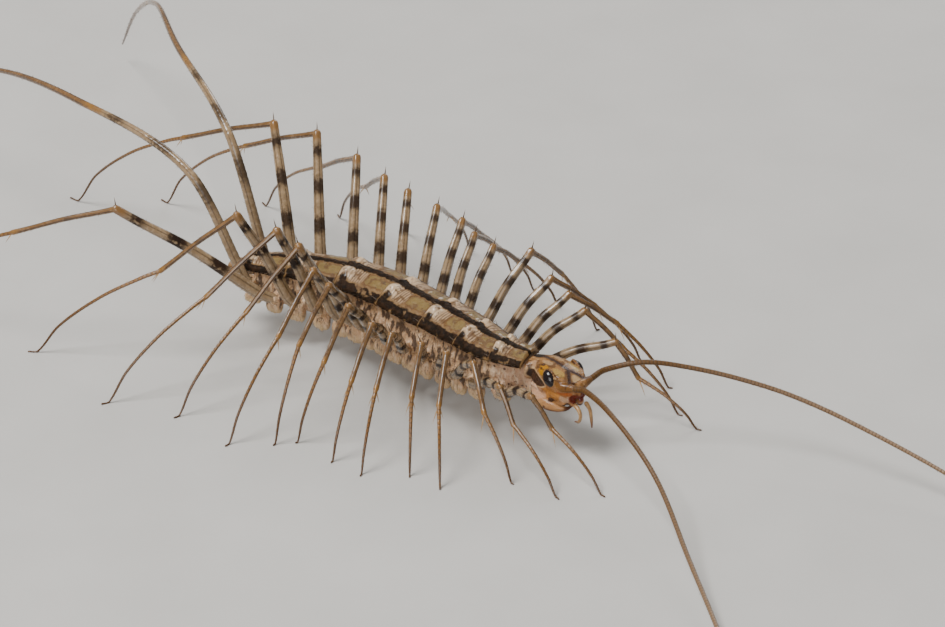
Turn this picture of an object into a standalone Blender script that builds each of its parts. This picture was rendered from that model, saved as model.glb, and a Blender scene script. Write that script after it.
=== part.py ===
"""A house centipede, still and life size, about 31 mm from the front of the head to the tail.

Numbers are millimetres and degrees, and MM turns them into scene metres. The animal faces +X, its left
side is +Y and its feet rest on z = 0. A station is a distance back along the body's line, which starts in
the head.
"""

import math
import random

import bmesh
import bpy
from mathutils import Matrix, Vector

for old in list(bpy.data.objects):
    bpy.data.objects.remove(old)

MM = 0.001
GAP = 0.3
CENTRE_X = -6.2
CENTRE_Y = 1.5

# The body's line, seen from above
BODY_END = 30.0
BODY_FRONT_X = 14.74
BODY_FRONT_Y = -1.35
HEADING_STATIONS = (0, 4, 8, 12, 16, 20, 24, 30)
HEADINGS = (-17, 6, -17, -11, -12, 4, 14, 16)
AXIS_STEP = 0.1

# Trunk
NECK = 3.9
TERGITE_ENDS = (NECK, 5.8, 8.5, 12.2, 16.4, 20.9, 25.0, 28.4)
LEGS_IN_TERGITE = (1, 2, 2, 3, 3, 2, 2)
WIDTH_STATIONS = (3, 5, 8, 12, 18, 23, 27, 30)
HALF_WIDTHS = (1.15, 1.55, 1.9, 2.1, 2.15, 1.9, 1.4, 0.6)
TOPS = (5.45, 5.65, 5.85, 5.9, 5.9, 5.75, 5.3, 4.5)
BOTTOMS = (3.3, 2.6, 1.9, 1.7, 1.7, 1.9, 2.4, 3.3)
# The trunk's cross-section on one side, as shares of its half width and height
SECTION = (
    (0.42, 0.985), (0.78, 0.93), (1.0, 0.81), (0.9, 0.69),
    (1.0, 0.52), (0.96, 0.32), (0.68, 0.1), (0.25, 0.0),
)
RING_SPACING = 1.3
PLATE_LIFT = 0.2
PLATE_DEPTH = 0.45
PLATE_SHARE = 1.06
PLATE_FOLD = 0.75
PLATE_ROWS = 4
PLATE_COLUMNS = 6
PLATE_CORNER = 0.16
PLATE_DROP = 0.2
PLATE_CURVE = 2.4
SPINE_LENGTH = 0.75
SPINE_RADIUS = 0.16
STOMA_SIZE = (0.36, 0.3, 0.38)
DOME_SIZE = (0.36, 0.42, 0.34)
DOME_SIDE = 0.43
DOME_BACK = 0.3
DOME_SINK = 0.1
LOBE_SIZE = (0.58, 0.52)
LOBE_DROP = 0.3
LOBE_HEIGHT = 2.0
TAIL_STATIONS = (28.8, 29.4, 29.8)

# Legs
COXA_HEIGHT = 3.3
COXA_REACH = 0.42
COXA_RADII = (0.56, 0.46)
COXA_ROOT = 0.95
LEG_SIDES = 6
FRONT_LEG_SCALE = 0.92
LEG_SCALE_STEP = 0.014
FEMUR_RADIUS = 0.37
TIBIA_RADIUS = 0.26
TARSUS_RADIUS = 0.25
TIP_RADIUS = 0.13
SPUR_LENGTH = 1.35
SPUR_RADIUS = 0.17
KNEE_SPINE = 0.95
FEMUR_BOW = 0.25
TIBIA_BOW = 0.12
TARSUS_BOW = 0.07
# Places along each length of a leg and the thickness there, both as shares
FEMUR_STAGES = ((0.5, 1.0), (0.88, 0.92))
TIBIA_STAGES = ((0.14, 1.15), (0.86, 1.0))
TARSUS_STAGES = ((0.14, 1.02), (0.45, 1.0), (0.76, 1.0))
ANKLE_SHARE = 1.25
FOOT_STAGE = (0.93, 0.9)
# Legs that bend round a wide gap, in two nodes that meet at the knee
SPLIT_LEGS = ("leg_left_12", "leg_left_13", "leg_left_14", "leg_right_13", "leg_right_14")

# For each leg from the first: knee and tibia end as outward, forward and height, and foot as outward and
# forward, all from the leg's root
RIGHT_LEGS = (
    ((2.0, 3.7, 4.9), (1.9, 5.2, 2.9), (3.3, 10.0)),
    ((1.7, 4.2, 5.3), (1.9, 5.6, 3.1), (2.9, 10.6)),
    ((1.3, 3.8, 6.2), (2.5, 6.5, 4.1), (2.3, 9.3)),
    ((2.0, 3.6, 6.4), (4.2, 5.7, 4.2), (6.3, 8.6)),
    ((2.9, 3.3, 6.6), (5.6, 5.4, 4.5), (7.4, 7.2)),
    ((3.6, 2.7, 6.7), (6.6, 4.5, 4.5), (9.7, 6.4)),
    ((3.8, 2.6, 6.9), (7.1, 4.4, 4.6), (9.8, 5.5)),
    ((4.0, 1.9, 7.5), (7.8, 3.9, 5.5), (9.9, 3.4)),
    ((4.2, 1.1, 8.4), (8.4, 2.6, 6.1), (11.4, 3.2)),
    ((4.1, 0.2, 8.9), (8.4, 0.7, 5.9), (13.8, 0.6)),
    ((3.4, -0.7, 9.9), (6.9, -2.7, 5.9), (12.6, -4.7)),
    ((3.0, -1.4, 10.4), (6.5, -5.0, 6.2), (12.8, -9.6)),
    ((2.4, -3.0, 10.6), (4.2, -8.0, 6.3), (7.6, -16.6)),
    ((4.2, -9.4, 10.4), (5.4, -16.7, 7.9), (5.6, -28.4)),
)
LEFT_LEGS = (
    ((2.6, 5.0, 5.4), (2.9, 6.6, 3.0), (3.6, 11.0)),
    ((3.8, 2.5, 6.5), (5.2, 4.7, 4.0), (6.4, 9.0)),
    ((4.2, 1.1, 6.9), (7.0, 2.8, 4.5), (9.4, 5.8)),
    ((4.2, 0.6, 7.2), (7.2, 1.6, 4.6), (10.2, 3.4)),
    ((4.6, 0.3, 8.0), (7.6, 0.2, 5.2), (10.6, 0.8)),
    ((4.2, -1.3, 7.2), (7.2, -1.7, 4.8), (11.0, -1.6)),
    ((4.0, -1.8, 7.5), (7.2, -2.8, 5.0), (11.4, -3.6)),
    ((4.1, -1.8, 8.0), (7.4, -3.4, 5.2), (12.0, -5.2)),
    ((4.4, -2.6, 8.0), (7.8, -4.8, 5.4), (12.6, -7.4)),
    ((4.6, -2.8, 8.4), (8.0, -5.6, 5.6), (12.8, -9.6)),
    ((5.2, -2.7, 8.8), (8.4, -6.4, 5.8), (13.2, -12.0)),
    ((5.6, -2.4, 9.8), (8.8, -7.2, 6.6), (13.6, -14.6)),
    ((5.7, -2.7, 11.2), (8.0, -9.4, 8.0), (12.4, -18.4)),
    ((6.0, -3.9, 11.4), (7.0, -11.4, 8.6), (11.0, -22.6)),
)
TRAIL_HEIGHT = 4.1
TRAIL_RADII = (0.42, 0.36, 0.3, 0.27, 0.25, 0.25, 0.25, 0.13)
TRAIL_SHARES = (0.0, 0.24, 0.55, 1.0)
RIGHT_TRAIL = (
    (-16.7, -2.4, 11.5), (-28.1, -0.7, 13.0), (-38.7, 2.6, 11.2),
    (-50.0, 6.2, 6.4), (-59.0, 8.4, 1.4),
)
LEFT_TRAIL = (
    (-16.2, 1.6, 12.8), (-25.6, 7.6, 14.6), (-33.5, 14.6, 13.4),
    (-42.0, 22.0, 8.0), (-48.5, 27.6, 1.6),
)
# Distance along a trailing leg and reach of its spurs
TRAIL_SPURS = ((14.6, 1.1), (15.2, 0.8))

# Head
HEAD_AT = (13.79, -1.34, 4.9)
HEAD_YAW = -17
NECK_HEIGHT = 4.7
NECK_RING = (1.05, 0.6, -0.95)
HEAD_RINGS = (
    (-1.75, 1.02, 0.63, -0.95),
    (-1.2, 1.18, 0.72, -1.08),
    (-0.6, 1.28, 0.77, -1.15),
    (0.2, 1.32, 0.76, -1.2),
    (0.95, 1.2, 0.62, -1.2),
    (1.5, 0.9, 0.38, -1.15),
    (1.8, 0.52, 0.08, -0.95),
)
HEAD_SIDES = 16
CHEEK_AT = (0.5, 0.68, -0.95)
CHEEK_SIZE = (0.85, 0.55, 0.42)
LABRUM_AT = (1.55, 0.0, -0.8)
LABRUM_SIZE = (0.45, 0.56, 0.34)
JAWS_AT = (0.1, 0.0, -1.25)
JAWS_SIZE = (1.15, 0.5, 0.5)
MOUTH_ROUTE = ((2.6, 0.0, -0.98), (1.75, 0.0, -0.98), (1.35, 0.0, -1.0))
MOUTH_RADII = (0.16, 0.14, 0.06)
EYE_SIDES = 12
EYE_ROOM = 0.18
EYE_AT = (0.15, 0.8, 0.12)
EYE_YAW = 8
EYE_TILT = 0.25
EYE_RADII = (0.46, 0.43)
# Height and width of each ring of an eye, as shares
EYE_SWELL = ((0.0, 0.88), (0.3, 1.0), (0.62, 0.8), (0.86, 0.5), (1.0, 0.12))
EYE_BULGE = 0.42
ANTENNA_AT = (1.66, 0.72, -0.02)
SOCKET_REACH = 0.24
STUMP_LENGTH = 0.9
STUMP_RADIUS = 0.44
FEELER_STEP = 2.3
ANTENNA_RADII = (0.28, 0.26, 0.25, 0.25, 0.13)
ANTENNA_SHARES = (0.0, 0.3, 0.64, 1.0)
CLAW_ROUTE = (
    (-1.3, 0.97, -1.75), (-0.2, 1.12, -1.9), (0.8, 0.92, -1.95), (1.3, 0.55, -1.9), (1.45, 0.25, -1.75),
)
CLAW_RADII = (0.4, 0.42, 0.34, 0.24, 0.08)
RIGHT_PALP = (
    (1.95, -0.35, -1.3), (2.35, -0.4, -1.45), (2.54, -0.4, -1.8), (2.3, -0.32, -2.35), (1.8, -0.24, -2.6),
)
LEFT_PALP = ((1.88, 0.62, -1.5), (2.12, 0.72, -1.9), (2.22, 0.76, -2.49), (2.36, 0.72, -3.1))
PALP_RADII = (0.25, 0.25, 0.25, 0.22, 0.1)
RIGHT_ANTENNA = (
    (16.4, -2.5, 5.1), (18.9, -3.6, 5.0), (22.7, -5.4, 4.0), (25.5, -7.1, 3.0),
    (29.8, -10.7, 1.6), (35.0, -15.4, 0.8), (40.0, -20.4, 0.4), (43.6, -24.6, 0.3),
)
LEFT_ANTENNA = (
    (15.9, 0.6, 5.1), (17.9, 2.2, 5.6), (20.4, 3.8, 5.3), (23.5, 5.2, 4.8),
    (26.8, 6.2, 4.2), (30.9, 6.7, 3.4), (37.8, 6.8, 2.0), (46.6, 5.6, 0.5),
)

# Colour and roughness of each kind of part
SHELL = ((0.42, 0.31, 0.17), 0.4)
HEAD_SHELL = ((0.55, 0.36, 0.2), 0.38)
LEG_SHELL = ((0.36, 0.23, 0.1), 0.35)
HORN = ((0.3, 0.2, 0.1), 0.45)
EYE = ((0.012, 0.01, 0.012), 0.12)
CLAW = ((0.33, 0.12, 0.04), 0.3)


def smooth_value(x, xs, ys):
    """A smooth curve through the points, read at x."""
    x = min(max(x, xs[0]), xs[-1])
    i = 0
    while i < len(xs) - 2 and x > xs[i + 1]:
        i += 1

    def slope(k):
        low = max(k - 1, 0)
        high = min(k + 1, len(xs) - 1)
        return (ys[high] - ys[low]) / (xs[high] - xs[low])

    span = xs[i + 1] - xs[i]
    t = (x - xs[i]) / span
    start = ys[i] * (1 + 2 * t) * (1 - t) ** 2 + slope(i) * span * t * (1 - t) ** 2
    end = ys[i + 1] * t * t * (3 - 2 * t) - slope(i + 1) * span * t * t * (1 - t)
    return start + end


def body_axis():
    """Points along the body's line with their headings, one for each step."""
    x = BODY_FRONT_X
    y = BODY_FRONT_Y
    line = []
    for i in range(round(BODY_END / AXIS_STEP) + 8):
        angle = math.radians(smooth_value(i * AXIS_STEP, HEADING_STATIONS, HEADINGS))
        line.append((x, y, angle))
        x -= math.cos(angle) * AXIS_STEP
        y -= math.sin(angle) * AXIS_STEP
    return line


AXIS = body_axis()


def body_point(station, left, up):
    """The place of a point of the body, given beside its line."""
    at = min(max(station / AXIS_STEP, 0.0), len(AXIS) - 1.001)
    i = int(at)
    t = at - i
    x, y, angle = (a * (1 - t) + b * t for a, b in zip(AXIS[i], AXIS[i + 1]))
    return Vector((x - math.sin(angle) * left, y + math.cos(angle) * left, up))


def body_ways(station):
    """Unit vectors forward and to the left at a station."""
    angle = AXIS[round(station / AXIS_STEP)][2]
    return Vector((math.cos(angle), math.sin(angle), 0)), Vector((-math.sin(angle), math.cos(angle), 0))


def new_mesh(name, points, faces):
    mesh = bpy.data.meshes.new(name)
    mesh.from_pydata(points, [], faces)
    return mesh


def piece(points, faces):
    """A closed form that is joined to a node later."""
    made = bpy.data.objects.new("piece", new_mesh("piece", points, faces))
    bpy.context.scene.collection.objects.link(made)
    return made


def loft(rings):
    """Points and faces of a closed form through rings of equal length, each counter-clockwise."""
    count = len(rings[0])
    points = [p for ring in rings for p in ring]
    faces = []
    for r in range(len(rings) - 1):
        for i in range(count):
            a = r * count + i
            b = r * count + (i + 1) % count
            faces.append((a, b, b + count, a + count))
    faces.append(tuple(reversed(range(count))))
    last = (len(rings) - 1) * count
    faces.append(tuple(range(last, last + count)))
    return points, faces


def tube_rings(centres, radii, sides, floor=False, first_way=None, last_way=None):
    """Round rings along a line, each square to it or, at an end, to the way given."""
    ways = []
    for i in range(len(centres)):
        before = centres[max(i - 1, 0)]
        after = centres[min(i + 1, len(centres) - 1)]
        ways.append((after - before).normalized())
    ways[0] = first_way or ways[0]
    ways[-1] = last_way or ways[-1]
    side = ways[0].cross(Vector((0, 0, 1)))
    if side.length < 0.1:
        side = Vector((0, 1, 0))
    rings = []
    for centre, way, radius in zip(centres, ways, radii):
        side = (side - way * side.dot(way)).normalized()
        up = side.cross(way)
        ring = []
        for k in range(sides):
            turn = 2 * math.pi * (k + 0.5) / sides
            p = centre - side * math.cos(turn) * radius + up * math.sin(turn) * radius
            if floor:
                p.z = max(p.z, 0.0)
            ring.append(p)
        rings.append(ring)
    return rings


def tube(centres, radii, sides=LEG_SIDES, floor=False, first_way=None, last_way=None):
    return piece(*loft(tube_rings(centres, radii, sides, floor, first_way, last_way)))


def cone(root, tip, radius, sides=4):
    """A spine: its root sits inside what it grows from."""
    return tube([root, tip], [radius, radius * 0.16], sides)


def ellipsoid(centre, sizes, ways, around=6, layers=4):
    """A rounded lobe with its half sizes along three ways."""
    a, b, c = ways
    rings = []
    for j in range(layers):
        tilt = math.pi * (0.06 + 0.88 * j / (layers - 1)) - math.pi / 2
        ring = []
        for k in range(around):
            turn = 2 * math.pi * k / around
            flat = math.cos(tilt)
            p = a * sizes[0] * flat * math.cos(turn) + b * sizes[1] * flat * math.sin(turn)
            ring.append(centre + p + c * sizes[2] * math.sin(tilt))
        rings.append(ring)
    return piece(*loft(rings))


def largest_surface(mesh):
    """Keeps the biggest closed surface of a mesh, so no scrap or sealed hollow stays."""
    shape = bmesh.new()
    shape.from_mesh(mesh)
    unseen = set(shape.faces)
    groups = []
    while unseen:
        stack = [unseen.pop()]
        group = []
        while stack:
            face = stack.pop()
            group.append(face)
            for edge in face.edges:
                for other in edge.link_faces:
                    if other in unseen:
                        unseen.remove(other)
                        stack.append(other)
        groups.append(group)
    groups.sort(key=len)
    loose = [face for group in groups[:-1] for face in group]
    bmesh.ops.delete(shape, geom=loose, context="FACES")
    bmesh.ops.triangulate(shape, faces=shape.faces)
    shape.to_mesh(mesh)
    shape.free()


def boolean(base, others, operation):
    """Applies one Boolean of the base with all the others, and removes them."""
    group = bpy.data.collections.new("group")
    bpy.context.scene.collection.children.link(group)
    for other in others:
        group.objects.link(other)
    modifier = base.modifiers.new("join", "BOOLEAN")
    modifier.operation = operation
    modifier.solver = "EXACT"
    modifier.operand_type = "COLLECTION"
    modifier.collection = group
    bpy.context.view_layer.update()
    graph = bpy.context.evaluated_depsgraph_get()
    joined = bpy.data.meshes.new_from_object(base.evaluated_get(graph))
    base.modifiers.clear()
    base.data = joined
    for other in others:
        bpy.data.objects.remove(other)
    bpy.data.collections.remove(group)
    return base


def node(name, pieces, look, cutters=()):
    """Joins the pieces into one named body with its own material."""
    base = pieces[0]
    if len(pieces) > 1:
        boolean(base, pieces[1:], "UNION")
    if cutters:
        boolean(base, list(cutters), "DIFFERENCE")
    largest_surface(base.data)
    base.data.transform(Matrix.Scale(MM, 4))
    base.name = name
    base.data.name = name
    base.data.shade_smooth()
    base.data.set_sharp_from_angle(angle=math.radians(35))
    base.data.materials.clear()
    base.data.materials.append(material(name, *look))
    base.parent = ANIMAL
    return base


def material(name, colour, roughness):
    made = bpy.data.materials.new(name)
    made.use_nodes = True
    shader = made.node_tree.nodes["Principled BSDF"]
    shader.inputs["Base Color"].default_value = (*colour, 1)
    shader.inputs["Roughness"].default_value = roughness
    shader.inputs["Metallic"].default_value = 0
    return made


def sizes_at(station):
    width = smooth_value(station, WIDTH_STATIONS, HALF_WIDTHS)
    top = smooth_value(station, WIDTH_STATIONS, TOPS)
    bottom = smooth_value(station, WIDTH_STATIONS, BOTTOMS)
    return width, top, bottom


def trunk_ring(station):
    """The trunk's cross-section, counter-clockwise seen from the head's side."""
    width, top, bottom = sizes_at(station)
    half = [(0.0, 1.0), *SECTION, (0.0, 0.0)]
    shares = half[:-1] + [(-side, up) for side, up in reversed(half[1:])]
    return [body_point(station, side * width, bottom + (top - bottom) * up) for side, up in shares]


def trunk_core(start, end):
    steps = max(2, round((end - start) / RING_SPACING))
    stations = [start + (end - start) * i / steps for i in range(steps + 1)]
    return piece(*loft([trunk_ring(s) for s in stations]))


def plate(start, end):
    """A tergite: a shallow dome raised on the trunk, rounded at its corners."""
    along = PLATE_ROWS
    across = PLATE_COLUMNS
    tops = []
    floors = []
    for i in range(along + 1):
        t = i / along
        station = start + (end - start) * t
        width, top, bottom = sizes_at(station)
        corner = 1 - PLATE_CORNER * abs(2 * t - 1) ** 4
        line_top = []
        line_floor = []
        for j in range(across + 1):
            side = (2 * j / across - 1) * PLATE_SHARE * corner
            drop = PLATE_DROP * (top - bottom) * abs(side) ** PLATE_CURVE
            lift = PLATE_LIFT * (0.55 + 0.45 * t)
            line_top.append(body_point(station, side * width, top - drop + lift))
            line_floor.append(body_point(station, side * width * 0.96, top - drop + lift - PLATE_DEPTH))
        tops.append(line_top)
        floors.append(line_floor)
    rings = [line_top + line_floor[::-1] for line_top, line_floor in zip(tops, floors)]
    count = len(rings[0])
    points = [p for ring in rings for p in ring]
    faces = []
    for r in range(along):
        for i in range(count):
            a = r * count + i
            b = r * count + (i + 1) % count
            faces.append((a, a + count, b + count, b))
    for row, outward in ((0, True), (along, False)):
        base = row * count
        for j in range(across):
            quad = (base + j, base + j + 1, base + count - 2 - j, base + count - 1 - j)
            faces.append(quad if outward else quad[::-1])
    return piece(points, faces)


def leg_stations():
    """For each pair of legs but the last: its station and its tergite."""
    found = []
    for k, count in enumerate(LEGS_IN_TERGITE):
        start = TERGITE_ENDS[k]
        span = TERGITE_ENDS[k + 1] - start
        for i in range(count):
            found.append((start + span * (i + 0.5) / count, k))
    return found


def leg_frame(station, side):
    """The leg's root on the coxa's face, with its outward and forward ways. The left side is 1."""
    width = sizes_at(station)[0]
    forward, left = body_ways(station)
    root = body_point(station, side * (width + COXA_REACH), COXA_HEIGHT)
    return root, left * side, forward


def leg_points(station, side, pose):
    """Root, knee, tibia end and foot of a leg, in place."""
    root, outward, forward = leg_frame(station, side)
    knee, ankle, foot = pose
    base = Vector((root.x, root.y, 0))
    spots = [base + outward * p[0] + forward * p[1] for p in (knee, ankle, foot)]
    spots[0].z = knee[2]
    spots[1].z = ankle[2]
    spots[2].z = TIP_RADIUS
    return [root, *spots]


def root_way(points):
    """The way the leg leaves its coxa: towards the knee, a little flatter."""
    way = points[1] - points[0]
    way.z *= 0.75
    return way.normalized()


def coxa(points, inward):
    """The stump that carries the leg, ending in a flat face."""
    way = root_way(points)
    centre = points[0]
    start = centre - way * 0.2 + inward * COXA_ROOT
    return tube([start, centre], COXA_RADII, LEG_SIDES, last_way=way)


def bowed(a, b, t, rise):
    p = a.lerp(b, t)
    p.z += rise * math.sin(math.pi * t)
    return p


def leg(name, points, scale, split):
    """One leg: thick femur, slim tibia, thin tarsus and spurs at both joints. A split leg is two nodes."""
    way = root_way(points)
    root, knee, ankle, foot = points
    start = root + way * GAP
    thick = FEMUR_RADIUS * scale
    femur = [(start, COXA_RADII[1] * 0.94), (start + way * 0.7, thick * 1.12)]
    for t, share in FEMUR_STAGES:
        femur.append((bowed(start, knee, t, FEMUR_BOW), thick * share))
    shin = []
    for t, share in TIBIA_STAGES:
        shin.append((bowed(knee, ankle, t, TIBIA_BOW), TIBIA_RADIUS * share))
    shin.append((ankle, TIBIA_RADIUS * ANKLE_SHARE))
    rise = TARSUS_BOW * (foot - ankle).length
    for t, share in TARSUS_STAGES:
        shin.append((bowed(ankle, foot, t, rise), TARSUS_RADIUS * share))
    pad = ankle.lerp(foot, FOOT_STAGE[0])
    pad.z = TARSUS_RADIUS * 0.8
    shin += [(pad, TARSUS_RADIUS * FOOT_STAGE[1]), (foot, TIP_RADIUS)]
    along = (ankle - knee).normalized()
    beyond = (foot - ankle).normalized()
    across = along.cross(Vector((0, 0, 1))).normalized()
    spurs = []
    for sign, reach in ((1, 1.0), (-1, 0.7)):
        lean = (beyond * 0.7 + across * sign * 0.4 - Vector((0, 0, 0.35))).normalized()
        spurs.append(cone(ankle - lean * 0.05, ankle + lean * SPUR_LENGTH * reach, SPUR_RADIUS))
    lean = (along * 0.15 + Vector((0, 0, 0.9)) + across * 0.2).normalized()
    if not split:
        spine = cone(knee, knee + lean * KNEE_SPINE, SPUR_RADIUS)
        shaft = tube(*zip(*femur, (knee, thick * 1.05), *shin), floor=True)
        node(name, [shaft, *spurs, spine], LEG_SHELL)
        return
    turn = ((knee - start).normalized() + along).normalized()
    upper = knee - turn * GAP / 2
    lower = knee + turn * GAP / 2
    spine = cone(upper - turn * 0.2, upper - turn * 0.2 + lean * KNEE_SPINE, SPUR_RADIUS)
    thigh = tube(*zip(*femur, (upper, thick)), first_way=way, last_way=turn)
    node(name + "_1", [thigh, spine], LEG_SHELL)
    lower_leg = tube(*zip((lower, thick * 0.95), *shin), floor=True, first_way=turn)
    node(name + "_2", [lower_leg, *spurs], LEG_SHELL)


def long_feeler(name, points, radii, shares, look, root_face, spots=()):
    """A long leg or antenna in lengths that meet face to face, the first along the given root face."""
    lengths = [0.0]
    for a, b in zip(points, points[1:]):
        lengths.append(lengths[-1] + (b - a).length)
    total = lengths[-1]

    def at(d):
        return Vector(tuple(smooth_value(d, lengths, [p[k] for p in points]) for k in range(3)))

    stops = [share * total for share in shares]
    radius_at = [total * i / (len(radii) - 1) for i in range(len(radii))]
    for k in range(len(shares) - 1):
        low = stops[k] + GAP
        high = stops[k + 1]
        count = max(5, round((high - low) / FEELER_STEP))
        ds = [low + (high - low) * i / count for i in range(count + 1)]
        ds.insert(1, low + 0.4)
        centres = [at(d) for d in ds]
        sizes = [smooth_value(d, radius_at, radii) for d in ds]
        begins = (at(stops[k] + 0.05) - at(stops[k])).normalized() if k else root_face
        ends = (at(high) - at(high - 0.05)).normalized()
        shaft = tube(centres, sizes, LEG_SIDES, floor=True, first_way=begins, last_way=ends)
        pieces = [shaft]
        for d, reach in spots:
            if low + 0.4 < d < high - 0.4:
                way = (at(d + 0.3) - at(d - 0.3)).normalized()
                side = way.cross(Vector((0, 0, 1))).normalized()
                lean = (way * 0.75 + side * 0.45 + Vector((0, 0, 0.3))).normalized()
                pieces.append(cone(at(d), at(d) + lean * reach, SPUR_RADIUS))
        node(f"{name}_{k + 1}", pieces, look)


def trail_points(station, side):
    """The root of a trailing last leg and its route."""
    width, top, bottom = sizes_at(station)
    root = body_point(station + 0.25, side * (width + COXA_REACH), TRAIL_HEIGHT)
    route = [Vector(p) for p in (LEFT_TRAIL if side > 0 else RIGHT_TRAIL)]
    return [root, *route]


def build_trunk(rng):
    """The trunk in eight lengths, each with its plate, stoma hump, coxae and hanging lobes."""
    stations = leg_stations()
    poses = {1: LEFT_LEGS, -1: RIGHT_LEGS}
    for k in range(len(LEGS_IN_TERGITE)):
        start = TERGITE_ENDS[k] + GAP / 2
        end = TERGITE_ENDS[k + 1] - GAP / 2
        pieces = [trunk_core(start, end)]
        rear = end - PLATE_FOLD
        pieces.append(plate(start + 0.12, rear))
        forward, left = body_ways(rear)
        up = Vector((0, 0, 1))
        top = sizes_at(rear)[1]
        ways = (forward, left, up)
        pieces.append(ellipsoid(body_point(rear + 0.1, 0, top + 0.02), STOMA_SIZE, ways, 8, 5))
        for side in (1, -1):
            width, top, bottom = sizes_at(rear + DOME_BACK)
            dome = body_point(rear + DOME_BACK, side * width * DOME_SIDE, top - DOME_SINK)
            pieces.append(ellipsoid(dome, DOME_SIZE, ways, 8, 5))
            width, top, bottom = sizes_at(rear)
            corner = body_point(rear - 0.35, side * width * 0.9, top - 0.17 * (top - bottom))
            lean = (left * side * 0.6 - forward * 0.5 + up * 0.5).normalized()
            pieces.append(cone(corner, corner + lean * SPINE_LENGTH, SPINE_RADIUS))
        for i, (station, tergite) in enumerate(stations):
            if tergite != k:
                continue
            for side in (1, -1):
                root, outward, ahead = leg_frame(station, side)
                trailing = i == len(stations) - 1
                if trailing:
                    points = trail_points(station, side)
                else:
                    points = leg_points(station, side, poses[side][i])
                pieces.append(coxa(points, -outward))
                width, top, bottom = sizes_at(station)
                low = bottom - LOBE_DROP * rng.uniform(0.8, 1.2)
                high = min(low + LOBE_HEIGHT, COXA_HEIGHT - 0.05)
                centre = Vector((root.x, root.y, (low + high) / 2)) - outward * COXA_REACH
                size = (*(s * rng.uniform(0.94, 1.06) for s in LOBE_SIZE), (high - low) / 2)
                pieces.append(ellipsoid(centre, size, (ahead, outward, up)))
        node(f"trunk_{k + 1}", pieces, SHELL)
    steps = [TERGITE_ENDS[-1] + GAP / 2, *TAIL_STATIONS]
    node("trunk_8", [piece(*loft([trunk_ring(s) for s in steps]))], SHELL)


def build_legs():
    for side, label, poses in ((1, "left", LEFT_LEGS), (-1, "right", RIGHT_LEGS)):
        for i, (station, _) in enumerate(leg_stations()[:-1]):
            points = leg_points(station, side, poses[i])
            name = f"leg_{label}_{i + 1:02d}"
            leg(name, points, FRONT_LEG_SCALE + LEG_SCALE_STEP * i, name in SPLIT_LEGS)
        points = trail_points(leg_stations()[-1][0], side)
        face = root_way(points)
        long_feeler(f"leg_{label}_15", points, TRAIL_RADII, TRAIL_SHARES, LEG_SHELL, face, TRAIL_SPURS)


def head_ways():
    yaw = math.radians(HEAD_YAW)
    return Vector((math.cos(yaw), math.sin(yaw), 0)), Vector((-math.sin(yaw), math.cos(yaw), 0))


def head_point(ahead, left, up):
    """A place given from the middle of the head, in the head's own directions."""
    forward, aside = head_ways()
    return Vector(HEAD_AT) + forward * ahead + aside * left + Vector((0, 0, up))


def head_ring(middle, aside, width, top, bottom):
    """A rounded cross-section of the head about its middle, flatter below."""
    ring = []
    for k in range(HEAD_SIDES):
        turn = 2 * math.pi * k / HEAD_SIDES
        side = math.copysign(abs(math.sin(turn)) ** 0.8, math.sin(turn))
        rise = math.copysign(abs(math.cos(turn)) ** 0.8, math.cos(turn))
        height = top * rise if rise > 0 else -bottom * rise
        ring.append(middle + aside * side * width + Vector((0, 0, height)))
    return ring


def eye_frame(side):
    """The middle of an eye's flat seat, and its ways out, along and up."""
    forward, aside = head_ways()
    yaw = math.radians(EYE_YAW)
    out = (aside * side * math.cos(yaw) + forward * math.sin(yaw) + Vector((0, 0, EYE_TILT))).normalized()
    along = (forward - out * forward.dot(out)).normalized()
    ahead, left, up = EYE_AT
    return head_point(ahead, side * left, up), out, along, out.cross(along)


def oval(centre, along, up, radii):
    return [
        centre + along * radii[0] * math.cos(a) + up * radii[1] * math.sin(a)
        for a in (2 * math.pi * k / EYE_SIDES for k in range(EYE_SIDES))
    ]


def build_head():
    forward, aside = head_ways()
    up = Vector((0, 0, 1))
    ways = (forward, aside, up)
    rear = NECK - GAP / 2
    rings = [head_ring(body_point(rear, 0, NECK_HEIGHT), body_ways(rear)[1], *NECK_RING)]
    rings += [head_ring(head_point(ahead, 0, 0), aside, *sizes) for ahead, *sizes in HEAD_RINGS]
    pieces = [piece(*loft(rings[::-1]))]
    for side in (1, -1):
        ahead, left, height = CHEEK_AT
        pieces.append(ellipsoid(head_point(ahead, side * left, height), CHEEK_SIZE, ways, 10, 5))
        way = antenna_way(side)
        seat = antenna_seat(side)
        pieces.append(tube([seat - way * STUMP_LENGTH, seat], [STUMP_RADIUS, ANTENNA_RADII[0]], 8))
    pieces.append(ellipsoid(head_point(*LABRUM_AT), LABRUM_SIZE, ways, 8, 5))
    pieces.append(ellipsoid(head_point(*JAWS_AT), JAWS_SIZE, ways, 10, 5))
    cutters = []
    for side in (1, -1):
        seat, out, along, rise = eye_frame(side)
        radii = (EYE_RADII[0] + EYE_ROOM, EYE_RADII[1] + EYE_ROOM)
        mouth_of_seat = oval(seat + out * 1.2, along, rise, [r * 1.3 for r in radii])
        cutters.append(piece(*loft([oval(seat, along, rise, radii), mouth_of_seat])))
        back = seat + out * GAP
        layers = []
        for height, share in EYE_SWELL:
            centre = back + out * EYE_BULGE * height
            layers.append(oval(centre, along, rise, [r * share for r in EYE_RADII]))
        node("eye_left" if side > 0 else "eye_right", [piece(*loft(layers))], EYE)
    mouth = tube([head_point(*p) for p in MOUTH_ROUTE], MOUTH_RADII, 6)
    node("head", pieces, HEAD_SHELL, [*cutters, mouth])


def antenna_way(side):
    """The way an antenna leaves the head."""
    ahead, left, up = ANTENNA_AT
    route = LEFT_ANTENNA if side > 0 else RIGHT_ANTENNA
    return (Vector(route[0]) - head_point(ahead, side * left, up)).normalized()


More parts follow.
